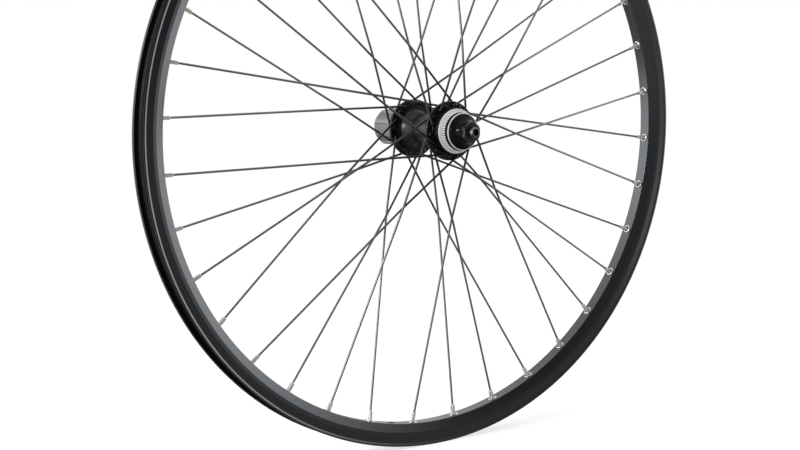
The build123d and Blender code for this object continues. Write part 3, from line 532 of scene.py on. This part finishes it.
def draw_spoke(bm, index):
    """Draws one spoke as a wire: its head, the elbow, the bend at the last crossing and its end."""
    head, corner, crossing, seat = spoke_route(index)
    base, to_rim = nipple_base(crossing, seat)
    through = (corner - head).normalized()
    along = (crossing - corner).normalized()
    facing = through.to_track_quat("Z", "X").to_matrix().to_4x4()
    size = HEAD_TOP
    ring = bmesh.ops.create_circle(bm, cap_ends=True, radius=size * MM, segments=WIRE_SIDES,
                                   matrix=Matrix.Translation(head * MM) @ facing)["verts"]
    edges = list({edge for vert in ring for edge in vert.link_edges})
    for height, width in HEAD_STEPS:
        edges = draw_out(bm, edges, through * height, width / size)
        size = width
    edges = draw_out(bm, edges, corner - through * ELBOW_REACH - head - through * HEAD_HEIGHT)
    turn = through.angle(along)
    hinge = through.cross(along).normalized()
    bend = ELBOW_REACH / math.tan(turn / 2)
    centre = corner - through * ELBOW_REACH + hinge.cross(through) * bend
    ring = list({vert for edge in edges for vert in edge.verts})
    made = bmesh.ops.spin(bm, geom=edges + ring, axis=hinge,
                          cent=centre * MM, dvec=(0, 0, 0), angle=turn, steps=ELBOW_STEPS, use_merge=False,
                          use_normal_flip=False, use_duplicate=False)["geom_last"]
    edges = ring_edges(made)
    edges = draw_out(bm, edges, crossing - corner - along * ELBOW_REACH)
    verts = list({vert for edge in edges for vert in edge.verts})
    lean = along.rotation_difference(to_rim).to_matrix()
    bmesh.ops.rotate(bm, verts=verts, cent=crossing * MM, matrix=lean)
    edges = draw_out(bm, edges, base - to_rim * SPOKE_END - crossing)
    bmesh.ops.contextual_create(bm, geom=edges)


# Black oxide on drawn wire: a warm grey with a soft shine and slight blotches, blacker towards the elbows,
# from about 140 mm in to 30 mm from the axle.
black_wire, tree, shader = start_material("black_oxide_spoke_wire")
_, radius, _, point = section_place(tree)
blotches = add(tree, "TexNoise", {"Vector": point, "Scale": 1 / (OXIDE_BLOTCHES * MM), "Detail": 3.0})
tone = add(tree, "Mix", {"Factor": blotches.outputs[0], "A": linear(SPOKE_OXIDE),
                         "B": linear(SPOKE_BLOTCH)}, data_type="RGBA")
lighter_share = add(tree, "MapRange", {"Value": radius, "From Min": ELBOW_DARKEST_WITHIN * MM,
                                 "From Max": ELBOW_DARKENING_REACH * MM})
oxide = add(tree, "Mix", {"Factor": lighter_share.outputs[0], "A": linear(ELBOW_DARKER_GREY),
                          "B": tone.outputs["Result"]}, data_type="RGBA")
gloss = add(tree, "MapRange", {"Value": blotches.outputs[0], "To Min": 0.36, "To Max": 0.5})
plug(tree, shader, {"Metallic": 1.0, "Base Color": oxide.outputs["Result"], "Roughness": gloss.outputs[0]})

for group, name in enumerate(("left_outboard", "right_outboard", "left_inboard", "right_inboard")):
    bm = bmesh.new()
    for index in range(group, SPOKES, 4):
        draw_spoke(bm, index)
    bmesh.ops.recalc_face_normals(bm, faces=bm.faces)
    piece(name + "_wires", bm, black_wire, "wheel", name + "_spokes", sharp=50.0)


# Nipples
# Brass nuts with a bright nickel plating, turned round at both ends and milled to four flats
# for the wrench, each in line with its spoke and with its head inside the rim.
NIPPLE_SIDES = 16
NIPPLE_FLAT = 1.65
NIPPLE_CORNER = 1.95
# Rings of a drawn piece: height and radius in mm, and how far the piece's own outline takes over.
NIPPLE_RINGS = [
    (0.0, 1.25, 0.0), (0.25, 1.55, 0.0), (0.8, 1.75, 0.2), (1.2, 1.75, 1.0), (7.3, 1.75, 1.0),
    (7.8, 1.9, 0.2), (8.2, 1.95, 0.0), (11.4, 1.95, 0.0), (11.7, 3.1, 0.0), (12.1, 3.2, 0.0),
    (13.0, 2.8, 0.0), (13.6, 1.6, 0.0),
]
PLATING_PATCHES = 4.0
PLATED_BRASS = "#d8d5cf"
WORN_PLATING = "#c6c1b9"

# Nickel on brass: a pale warm silver, clouded so that it stays light among dark metal, with worn patches.
plated_brass = patchy_metal("nickel_plated_brass", PLATING_PATCHES, 3.0, PLATED_BRASS, WORN_PLATING,
                            gloss=(0.18, 0.3), metallic=0.45)


def draw_rings(bm, sides, rings, outline, hollow=False):
    """Draws rings up the Z axis and gives each the reach that the outline makes of its radius and share."""
    ring = bmesh.ops.create_circle(bm, cap_ends=not hollow, radius=1.0, segments=sides)["verts"]
    edges = first = list({edge for vert in ring for edge in vert.link_edges})
    stack = [ring]
    for _ in rings[1:]:
        edges = draw_out(bm, edges, Vector((0.0, 0.0, 0.0)))
        stack.append(list({vert for edge in edges for vert in edge.verts}))
    for ring, (height, radius, share) in zip(stack, rings):
        for vert in ring:
            angle = math.atan2(vert.co.y, vert.co.x)
            reach = outline(math.degrees(angle), radius, share)
            vert.co = Vector((math.cos(angle) * reach, math.sin(angle) * reach, height)) * MM
    if hollow:
        bmesh.ops.bridge_loops(bm, edges=first + edges)
    else:
        bmesh.ops.contextual_create(bm, geom=edges)
    bmesh.ops.recalc_face_normals(bm, faces=bm.faces)


def wrench_flats(angle, radius, share):
    """A round outline that goes over to four flats."""
    nearest = math.radians((angle + 45.0) % 90.0 - 45.0)
    square = min(NIPPLE_FLAT / math.cos(nearest), NIPPLE_CORNER)
    return radius + (square - radius) * share


one = bmesh.new()
draw_rings(one, NIPPLE_SIDES, NIPPLE_RINGS, wrench_flats)
places = []
for index in range(SPOKES):
    _, _, crossing, seat = spoke_route(index)
    base, to_rim = nipple_base(crossing, seat)
    turn = to_rim.to_track_quat("Z", "Y").to_matrix().to_4x4()
    places.append(Matrix.Translation((base - to_rim * NIPPLE_LENGTH) * MM) @ turn)
bm = bmesh.new()
copies(bm, one, places)
piece("nipple_set", bm, plated_brass, "wheel", "spoke_nipples", sharp=28.0)


# Hub shell
# Forged aluminium, turned and anodised black: two drilled flanges on a flared barrel, with a boss
# and the rotor mount's seat on the brake side and bearing seats inside.
SHELL_STEPS = 128
SHELL_SECTION = [
    (19.4, -32.7, 0.0), (25.7, -32.7, 0.35), (26.3, -33.3, 0.35), (26.3, -35.3, 0.35), (25.7, -35.9, 0.35),
    (20.3, -35.9, 0.5), (20.3, -43.7, 0.35), (15.5, -43.7, 0.1), (15.5, -52.95, 0.1),
    (14.8, -52.95, 0.1), (14.8, -51.2, 0.1), (14.05, -51.2, 0.1),
    (14.05, -41.96, 0.1), (8.6, -41.96, 0.3), (8.6, 10.0, 0.1), (7.45, 10.0, 0.1), (7.45, 24.0, 0.2),
    (12.0, 24.0, 0.2), (12.0, 22.8, 0.2), (25.7, 22.8, 0.35), (26.3, 22.2, 0.35), (26.3, 20.2, 0.35),
    (25.7, 19.6, 0.35), (19.4, 19.6, 0.3), (19.4, 16.2, 0.25), (17.6, 16.2, 0.0),
    (13.2, 11.58, 6.35), (13.2, -30.334, 6.6),
]
SPOKE_HOLE = 1.35
FLANGE_DRILL = 2.4
BARREL_EDGE = 18.0
BARREL_MIDDLE = 14.0
# Where the barrel is painted lighter towards the brake side, as painted light.
BARREL_LIGHT_FROM = 2.0
BARREL_LIGHT_BEYOND = -24.0
HUB_LATHE_LINES = 0.5
HUB_CLOUDS = 14.0
HUB_BLACK = "#2f3033"
BARREL_PAINTED_LIGHT = "#505255"

# The same anodising on a turned surface: a closer gloss, with fine rings from the lathe, about 0.5 mm
# apart and so drawn coarser than the real ones. The barrel is painted greyer towards the brake side, as
# painted light.
anodised_hub, tree, shader = start_material("black_anodised_turned_aluminium")
place, radius, along, point = section_place(tree)
rings = add(tree, "TexNoise", {"Vector": place, "Scale": 1 / (HUB_LATHE_LINES * MM), "Detail": 2.0},
            noise_dimensions="2D")
clouds = add(tree, "TexNoise", {"Vector": point, "Scale": 1 / (HUB_CLOUDS * MM), "Detail": 2.0})
dye = add(tree, "MapRange", {"Value": clouds.outputs[0], "To Min": 0.96, "To Max": 1.04})
barrel = add(tree, "MapRange", {"Value": radius, "From Min": BARREL_EDGE * MM,
                                "From Max": BARREL_MIDDLE * MM})
brakeward = add(tree, "MapRange", {"Value": along, "From Min": BARREL_LIGHT_FROM * MM,
                                   "From Max": BARREL_LIGHT_BEYOND * MM})
# Painted light: the barrel grows lighter towards the brake side.
lighter_share = add(tree, "Math", {0: barrel.outputs[0], 1: brakeward.outputs[0]}, operation="MULTIPLY")
lightened = add(tree, "Mix", {"Factor": lighter_share.outputs[0], "A": linear(HUB_BLACK),
                           "B": linear(BARREL_PAINTED_LIGHT)}, data_type="RGBA")
colour = add(tree, "Mix", {"Factor": 1.0, "A": lightened.outputs["Result"], "B": dye.outputs[0]},
             data_type="RGBA", blend_type="MULTIPLY")
gloss = add(tree, "MapRange", {"Value": rings.outputs[0], "To Min": 0.26, "To Max": 0.36})
relief = add(tree, "Bump", {"Height": rings.outputs[0], "Strength": 0.1, "Distance": 0.006 * MM})
plug(tree, shader, {"Metallic": 0.9, "Base Color": colour.outputs["Result"],
                    "Roughness": gloss.outputs[0], "Normal": relief.outputs[0]})

bm = bmesh.new()
spin_section(bm, SHELL_SECTION, SHELL_STEPS)
drills = bmesh.new()
for index in range(SPOKES):
    _, corner, _, _ = spoke_route(index)
    flange = LEFT_FLANGE if index % 2 == 0 else RIGHT_FLANGE
    middle = Vector((corner.x, flange, corner.z)) * MM
    round_drill(drills, SPOKE_HOLE, -FLANGE_DRILL, FLANGE_DRILL, Matrix.Translation(middle) @ lay_down)
bm = drilled(bm, drills)
piece("hub_shell_turned", bm, anodised_hub, "wheel", "hub_shell")


# Rotor mount
# A silver ring machined from aluminium and fixed on the shell's end: a shoulder for the brake rotor,
# fifty-two fine teeth, a groove, and a thin lip with a thread inside it for the lockring.
MOUNT_TEETH = 52
MOUNT_TOOTH = 0.7
MOUNT_TOOTH_FLANK = 3.2
MOUNT_SIDES = MOUNT_TEETH * 6
MOUNT_RINGS = [
    (43.75, 15.55, 0.0), (43.75, 19.45, 0.0), (44.0, 19.7, 0.0), (44.8, 19.7, 0.0), (45.1, 19.4, 0.0),
    (45.1, 16.55, 1.0), (49.5, 16.55, 1.0), (49.9, 16.55, 0.35), (49.9, 16.1, 0.0), (53.0, 16.1, 0.0),
    (53.0, 16.35, 0.0), (53.2, 16.55, 0.0), (53.8, 16.55, 0.0), (54.0, 16.35, 0.0), (54.0, 15.0, 0.0),
    (53.8, 14.8, 0.0), (53.6, 15.0, 0.0), (53.4, 14.8, 0.0), (53.2, 15.0, 0.0), (53.0, 14.8, 0.0),
    (53.0, 15.55, 0.0),
]
GROOVE_MIDDLE = 51.4
# The valleys between the teeth are painted darker, partly as shade and partly as grime.
VALLEY_SHADE_AND_GRIME = 0.85
MOUNT_LATHE_LINES = 0.4
MOUNT_SILVER = "#ececeb"
MOUNT_DULL = "#dededd"
# The groove and the thread inside the lip are painted black as shade.
GROOVE_PAINTED_SHADE = "#111213"
VALLEY_SHADE_AND_GRIME_GREY = "#3c3d40"


def blunt_teeth(angle, radius, share):
    """A round outline that goes over to a ring of blunt teeth."""
    from_tip = abs((angle * MOUNT_TEETH / 360.0 + 0.5) % 1.0 - 0.5)
    return radius + MOUNT_TOOTH * share * min(1.0, max(0.0, MOUNT_TOOTH_FLANK * (0.5 - from_tip)))


# Machined aluminium is a bright, slightly soft metal. The tool leaves rings about 0.4 mm apart,
# drawn coarser than the real ones. The groove and the thread inside the lip are painted black as shade,
# and the valleys between the teeth are painted darker, partly as shade and partly as grime.
machined_silver, tree, shader = start_material("machined_bright_aluminium")
place, radius, along, _ = section_place(tree)
rings = add(tree, "TexNoise", {"Vector": place, "Scale": 1 / (MOUNT_LATHE_LINES * MM), "Detail": 2.0},
            noise_dimensions="2D")
silver = add(tree, "Mix", {"Factor": rings.outputs[0], "A": linear(MOUNT_SILVER), "B": linear(MOUNT_DULL)},
             data_type="RGBA")
to_groove = add(tree, "Math", {0: along, 1: GROOVE_MIDDLE * MM}, operation="ADD")
from_groove = add(tree, "Math", {0: to_groove.outputs[0]}, operation="ABSOLUTE").outputs[0]
parts = {}
for part, measure, none, full in (
        ("deep", radius, 17.1, 16.65), ("beyond_shoulder", along, -45.2, -45.3),
        ("off_groove", from_groove, 1.7, 1.76), ("off_lip", along, -53.0, -52.9),
        ("above_thread", radius, 15.6, 15.75)):
    fade = add(tree, "MapRange", {"Value": measure, "From Min": none * MM, "From Max": full * MM})
    parts[part] = fade.outputs[0]
# Painted shade, with some grime, darkens the valleys between the teeth.
shade_and_grime = VALLEY_SHADE_AND_GRIME
for part in ("deep", "beyond_shoulder", "off_groove", "off_lip"):
    shade_and_grime = add(tree, "Math", {0: shade_and_grime, 1: parts[part]}, operation="MULTIPLY").outputs[0]
toothed = add(tree, "Mix", {"Factor": shade_and_grime, "A": silver.outputs["Result"], "B": linear(VALLEY_SHADE_AND_GRIME_GREY)},
              data_type="RGBA")
# Painted shade: the groove and the thread inside the lip go black.
unshaded = add(tree, "Math", {0: parts["off_groove"], 1: parts["above_thread"]}, operation="MULTIPLY")
colour = add(tree, "Mix", {"Factor": unshaded.outputs[0], "A": linear(GROOVE_PAINTED_SHADE),
                           "B": toothed.outputs["Result"]}, data_type="RGBA")
gloss = add(tree, "MapRange", {"Value": rings.outputs[0], "To Min": 0.26, "To Max": 0.36})
plug(tree, shader, {"Metallic": 0.35, "Base Color": colour.outputs["Result"],
                    "Roughness": gloss.outputs[0]})

bm = bmesh.new()
draw_rings(bm, MOUNT_SIDES, MOUNT_RINGS, blunt_teeth, hollow=True)
bmesh.ops.transform(bm, matrix=lay_down, verts=bm.verts)
piece("rotor_mount_ring", bm, machined_silver, "wheel", "rotor_mount")


# Brake side bearing
# A hardened steel cup pressed into the shell, and nine loose steel balls, ground round and packed in
# grease, that run between it and the cone.
LEFT_CUP_SECTION = [
    (14.0, -51.2, 0.2), (12.9, -51.2, 0.2), (12.9, -47.41, 0.2), (8.5, -43.01, 0.2),
    (8.5, -42.01, 0.2), (14.0, -42.01, 0.3),
]
BALL = 3.175
BALLS = 9
BALL_CIRCLE = 9.5
LEFT_BALLS_AT = -48.5
GREASE_PATCHES = 2.5
BEARING_STEEL = "#8f8d89"
GREASED_STEEL = "#7a7772"


def turned_piece(name, section, material, body, node, steps=72):
    """A piece turned on the lathe from its section."""
    bm = bmesh.new()
    spin_section(bm, section, steps)
    piece(name, bm, material, body, node)


def ball_row(name, radius, count, circle, along, node):
    """A row of steel balls round the axle."""
    one = bmesh.new()
    bmesh.ops.create_icosphere(one, subdivisions=3, radius=radius * MM)
    bm = bmesh.new()
    copies(bm, one, [Matrix.Translation(round_axle(circle, 360 * index / count, along) * MM)
                     for index in range(count)])
    piece(name, bm, ground_steel, "wheel", node, sharp=60.0)


# Ground steel under a film of grease: grey and glossy, with slow patches where the grease lies.
ground_steel = patchy_metal("ground_bearing_steel", GREASE_PATCHES, 2.0, BEARING_STEEL, GREASED_STEEL,
                            gloss=(0.12, 0.34))

turned_piece("left_cup_race", LEFT_CUP_SECTION, ground_steel, "wheel", "left_bearing_cup")
ball_row("left_balls", BALL, BALLS, BALL_CIRCLE, LEFT_BALLS_AT, "left_bearing_balls")


# Freehub inside
# A steel core held on the shell by a hollow bolt, with two pawls on a ring spring in its pockets, a cup
# screwed into its outer end, and rows of small balls that the driver runs on. A thin seal closes it.
FREEHUB_CUP_SECTION = [
    (8.5, 46.0, 0.2), (10.4, 46.0, 0.2), (10.4, 51.0, 0.2), (13.6, 51.0, 0.3), (13.6, 61.0, 0.25),
    (12.9, 61.0, 0.25), (12.9, 54.41, 0.3), (8.5, 50.01, 0.3),
]
SMALL_BALL = 1.59
SMALL_BALLS = 25
SMALL_CIRCLE = 13.3
RIGHT_BALLS_AT = 55.5
INNER_ROW_AT = 29.0
OUTER_ROW_AT = 46.5
INNER_SEAL_SECTION = [(11.65, 25.0, 0.15), (14.7, 25.0, 0.3), (14.7, 26.0, 0.3), (11.65, 26.0, 0.15)]
RUBBER_TOOTH = 0.6
RUBBER_DUST = 4.0
RUBBER_BLACK = "#0d0d0e"
DUSTY_RUBBER = "#161617"

for node in ("freehub_core", "freehub_bolt", "pawl_spring", "first_pawl", "second_pawl"):
    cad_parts[node].material_slots[0].material = ground_steel
turned_piece("freehub_cup_race", FREEHUB_CUP_SECTION, ground_steel, "wheel",
             "freehub_bearing_cup")
ball_row("right_balls", BALL, BALLS, BALL_CIRCLE, RIGHT_BALLS_AT, "right_bearing_balls")
ball_row("freehub_inner_row", SMALL_BALL, SMALL_BALLS, SMALL_CIRCLE, INNER_ROW_AT, "freehub_inner_balls")
ball_row("freehub_outer_row", SMALL_BALL, SMALL_BALLS, SMALL_CIRCLE, OUTER_ROW_AT, "freehub_outer_balls")

# Moulded rubber: nearly black, with a soft shine, a fine tooth of about 0.6 mm and a little dust.
black_rubber, tree, shader = start_material("moulded_black_rubber")
point = add(tree, "TexCoord").outputs["Object"]
tooth = add(tree, "TexNoise", {"Vector": point, "Scale": 1 / (RUBBER_TOOTH * MM), "Detail": 2.0})
dust = add(tree, "TexNoise", {"Vector": point, "Scale": 1 / (RUBBER_DUST * MM), "Detail": 3.0})
colour = add(tree, "Mix", {"Factor": dust.outputs[0], "A": linear(RUBBER_BLACK), "B": linear(DUSTY_RUBBER)},
             data_type="RGBA")
gloss = add(tree, "MapRange", {"Value": dust.outputs[0], "To Min": 0.12, "To Max": 0.2})
relief = add(tree, "Bump", {"Height": tooth.outputs[0], "Strength": 0.1, "Distance": 0.02 * MM})
plug(tree, shader, {"Specular IOR Level": 0.06, "Base Color": colour.outputs["Result"],
                    "Roughness": gloss.outputs[0], "Normal": relief.outputs[0]})

turned_piece("freehub_inner_lip_seal", INNER_SEAL_SECTION, black_rubber, "wheel",
             "freehub_inner_seal")


# Freehub driver
# The steel sleeve that carries the sprockets: nine ridges, one of them wide, a stop flange at the wheel's
# end and ratchet teeth inside for the pawls. Milled, hardened and plated to a matt grey.
DRIVER_SIDES = 360
DRIVER_RIDGE_PITCH = 40.0
DRIVER_RIDGE_HALF = 7.2
DRIVER_WIDE_HALF = 10.3
DRIVER_RIDGE_FLANK = 0.5
DRIVER_RIDGE_HEIGHT = 1.05
RATCHET_FACE = -18.5
RATCHET_PITCH = 10.0
RATCHET_DEPTH = 1.5
DRIVER_RINGS = [
    (25.0, 15.3, 0.0), (25.0, 17.6, 0.0), (25.3, 17.9, 0.0), (26.7, 17.9, 0.0), (27.0, 17.6, 0.0),
    (27.0, 16.2, 1.0), (59.6, 16.2, 1.0), (61.3, 16.2, 0.25), (61.5, 16.0, 0.2), (61.5, 15.3, 0.0),
    (61.2, 15.0, 0.0), (42.0, 15.0, 0.0), (42.0, 13.4, -1.0), (32.0, 13.4, -1.0), (32.0, 15.0, 0.0),
    (25.3, 15.0, 0.0),
]
OUTER_SEAL_SECTION = [(13.9, 58.5, 0.15), (14.95, 58.5, 0.15), (14.95, 61.0, 0.2), (13.9, 61.0, 0.3)]
RIDGE_FOOT = 16.5
RIDGE_TOP = 17.0
# Share of the colour kept between the ridges: painted shade with some grime.
RIDGE_VALLEY_SHADE_AND_GRIME = 0.7
DRIVER_GRAIN = 0.8
DRIVER_STAINS = 9.0
DRIVER_GREY = "#949698"
STAINED_GREY = "#8a8c8f"


def ridges_and_ratchet(angle, radius, share):
    """A round outline that goes over to ridges outside, or to slanted teeth inside."""
    if share < 0.0:
        return radius - RATCHET_DEPTH * share * (1.0 - (-angle - RATCHET_FACE) / RATCHET_PITCH % 1.0)
    from_ridge = abs((angle + DRIVER_RIDGE_PITCH / 2) % DRIVER_RIDGE_PITCH - DRIVER_RIDGE_PITCH / 2)
    half = DRIVER_WIDE_HALF if abs(angle) < DRIVER_RIDGE_PITCH / 2 else DRIVER_RIDGE_HALF
    rise = min(1.0, max(0.0, half - from_ridge + DRIVER_RIDGE_FLANK))
    return radius + DRIVER_RIDGE_HEIGHT * share * rise


# Matt plating on blasted steel: a mid grey that scatters the light, with a grain of about 0.8 mm drawn
# coarser than the real one, slow stains, and a darker grey between the ridges, partly painted shade, partly
# grime.
plated_steel, tree, shader = start_material("matt_plated_steel")
_, radius, _, point = section_place(tree)
grain = add(tree, "TexNoise", {"Vector": point, "Scale": 1 / (DRIVER_GRAIN * MM), "Detail": 3.0})
stains = add(tree, "TexNoise", {"Vector": point, "Scale": 1 / (DRIVER_STAINS * MM), "Detail": 3.0})
stained = add(tree, "Mix", {"Factor": stains.outputs[0], "A": linear(DRIVER_GREY),
                            "B": linear(STAINED_GREY)}, data_type="RGBA")
# Painted shade, with some grime, between the ridges.
ridge = add(tree, "MapRange", {"Value": radius, "From Min": RIDGE_FOOT * MM, "From Max": RIDGE_TOP * MM,
                               "To Min": RIDGE_VALLEY_SHADE_AND_GRIME})
colour = add(tree, "Mix", {"Factor": 1.0, "A": stained.outputs["Result"], "B": ridge.outputs[0]},
             data_type="RGBA", blend_type="MULTIPLY")
gloss = add(tree, "MapRange", {"Value": grain.outputs[0], "To Min": 0.42, "To Max": 0.6})
relief = add(tree, "Bump", {"Height": grain.outputs[0], "Strength": 0.2, "Distance": 0.03 * MM})
plug(tree, shader, {"Metallic": 0.6, "Base Color": colour.outputs["Result"],
                    "Roughness": gloss.outputs[0], "Normal": relief.outputs[0]})

bm = bmesh.new()
draw_rings(bm, DRIVER_SIDES, DRIVER_RINGS, ridges_and_ratchet, hollow=True)
bmesh.ops.transform(bm, matrix=lay_down.inverted(), verts=bm.verts)
piece("freehub_driver_sleeve", bm, plated_steel, "driver", "freehub_driver")
turned_piece("freehub_outer_lip_seal", OUTER_SEAL_SECTION, black_rubber, "driver",
             "freehub_outer_seal")


# Axle
# A hollow steel axle for a quick-release skewer, rolled and dark plated, with plain tapered ends
# that lie in the frame's dropouts.
AXLE_HALF_SECTION = [
    (2.75, 72.5, 0.2), (3.8, 72.5, 0.25), (4.8, 70.3, 0.3), (4.8, 67.5, 0.0), (5.0, 67.5, 0.05),
]
AXLE_STEPS = 48
AXLE_LATHE_LINES = 0.5
AXLE_DARK = "#5b5957"
AXLE_SMOKE = "#656360"

# Dark plating on turned steel: smoky and glossy, with rings about 0.5 mm apart, drawn coarser than the
# real ones.
dark_steel, tree, shader = start_material("dark_plated_steel")
place, _, _, _ = section_place(tree)
rings = add(tree, "TexNoise", {"Vector": place, "Scale": 1 / (AXLE_LATHE_LINES * MM), "Detail": 2.0},
            noise_dimensions="2D")
colour = add(tree, "Mix", {"Factor": rings.outputs[0], "A": linear(AXLE_DARK), "B": linear(AXLE_SMOKE)},
             data_type="RGBA")
gloss = add(tree, "MapRange", {"Value": rings.outputs[0], "To Min": 0.2, "To Max": 0.36})
plug(tree, shader, {"Metallic": 1.0, "Base Color": colour.outputs["Result"], "Roughness": gloss.outputs[0]})

turned_piece("hollow_axle", both_halves(AXLE_HALF_SECTION), dark_steel, "axle", "axle",
             steps=AXLE_STEPS)


# Cones, dust ring and spacers
# Hardened cones screwed on the axle, each with a race for its balls, a collar and a neck. A pressed steel
# ring covers the drive side's balls, and a plain washer stands under each locknut.
LEFT_CONE_SECTION = [
    (5.05, -49.39, 0.1), (5.9, -49.39, 0.3), (9.0, -52.49, 0.3), (9.0, -56.99, 0.2), (7.6, -56.99, 0.2),
    (7.6, -62.0, 0.2), (5.05, -62.0, 0.1),
]
RIGHT_CONE_SECTION = [
    (5.05, 56.39, 0.1), (5.9, 56.39, 0.3), (9.0, 59.49, 0.3), (9.0, 60.99, 0.2), (7.6, 60.99, 0.2),
    (7.6, 62.0, 0.2), (5.05, 62.0, 0.1),
]
DUST_RING_SECTION = [(9.05, 59.49, 0.1), (12.6, 59.49, 0.2), (12.6, 60.69, 0.4), (9.05, 60.69, 0.2)]
SPACER_SECTION = [(5.05, 62.0, 0.1), (8.2, 62.0, 0.25), (8.2, 63.5, 0.25), (5.05, 63.5, 0.1)]
OXIDE_PATCHES = 2.0
OXIDE_GREY = "#464645"
OXIDE_BLACK = "#383837"

turned_piece("left_cone_race", LEFT_CONE_SECTION, ground_steel, "axle", "left_cone")
turned_piece("right_cone_race", RIGHT_CONE_SECTION, ground_steel, "axle", "right_cone")
turned_piece("right_dust_cover", DUST_RING_SECTION, ground_steel, "axle",
             "right_dust_ring")

# Black oxide on turned steel: a dark metal with a low shine and slightly uneven colour.
black_oxide = patchy_metal("black_oxide_steel", OXIDE_PATCHES, 3.0, OXIDE_GREY, OXIDE_BLACK,
                           gloss=(0.24, 0.4))


def other_side(section):
    """The same section on the brake side."""
    return [(radius, -along, rounding) for radius, along, rounding in section]


turned_piece("right_washer", SPACER_SECTION, black_oxide, "axle", "right_spacer")
turned_piece("left_washer", other_side(SPACER_SECTION), black_oxide, "axle", "left_spacer")


# Dust boot
# A moulded rubber boot pushed over the left cone: its edge runs inside the rotor mount's lip, its face
# is dished, and its nose reaches the locknut.
BOOT_SECTION = [
    (9.25, -60.45, 0.6), (9.25, -63.45, 0.5), (8.25, -63.45, 0.2), (8.25, -57.04, 0.2), (9.05, -57.04, 0.2),
    (9.05, -53.2, 0.2), (14.5, -53.2, 0.3), (14.5, -54.8, 0.7), (11.2, -57.2, 1.2),
]
BOOT_STEPS = 96

turned_piece("dust_boot_moulding", BOOT_SECTION, black_rubber, "axle", "left_dust_boot",
             steps=BOOT_STEPS)


# Locknuts
# Hexagonal steel nuts with a black oxide finish, chamfered on their outer corners, which clamp the cones
# and stand against the frame.
NUT_FLAT = 8.5
NUT_SIDES = 96
NUT_RINGS = [
    (63.5, 5.05, 0.0), (63.5, 8.2, 0.0), (63.55, 8.4, 1.0), (63.9, 9.4, 1.0), (66.6, 9.4, 1.0),
    (67.05, 8.85, 1.0), (67.4, 8.3, 0.0), (67.5, 8.0, 0.0), (67.5, 5.4, 0.0), (67.2, 5.05, 0.0),
]


def hexagon(angle, radius, share):
    """A round outline that six flats cut, with one of the corners up."""
    nearest = math.radians((angle + 30.0) % 60.0 - 30.0)
    return min(radius, NUT_FLAT / math.cos(nearest)) if share else radius


for name, place in (("left", lay_down), ("right", lay_down.inverted())):
    bm = bmesh.new()
    draw_rings(bm, NUT_SIDES, NUT_RINGS, hexagon, hollow=True)
    bmesh.ops.transform(bm, matrix=place, verts=bm.verts)
    piece(name + "_hexagon_nut", bm, black_oxide, "axle", name + "_locknut", sharp=24.0)
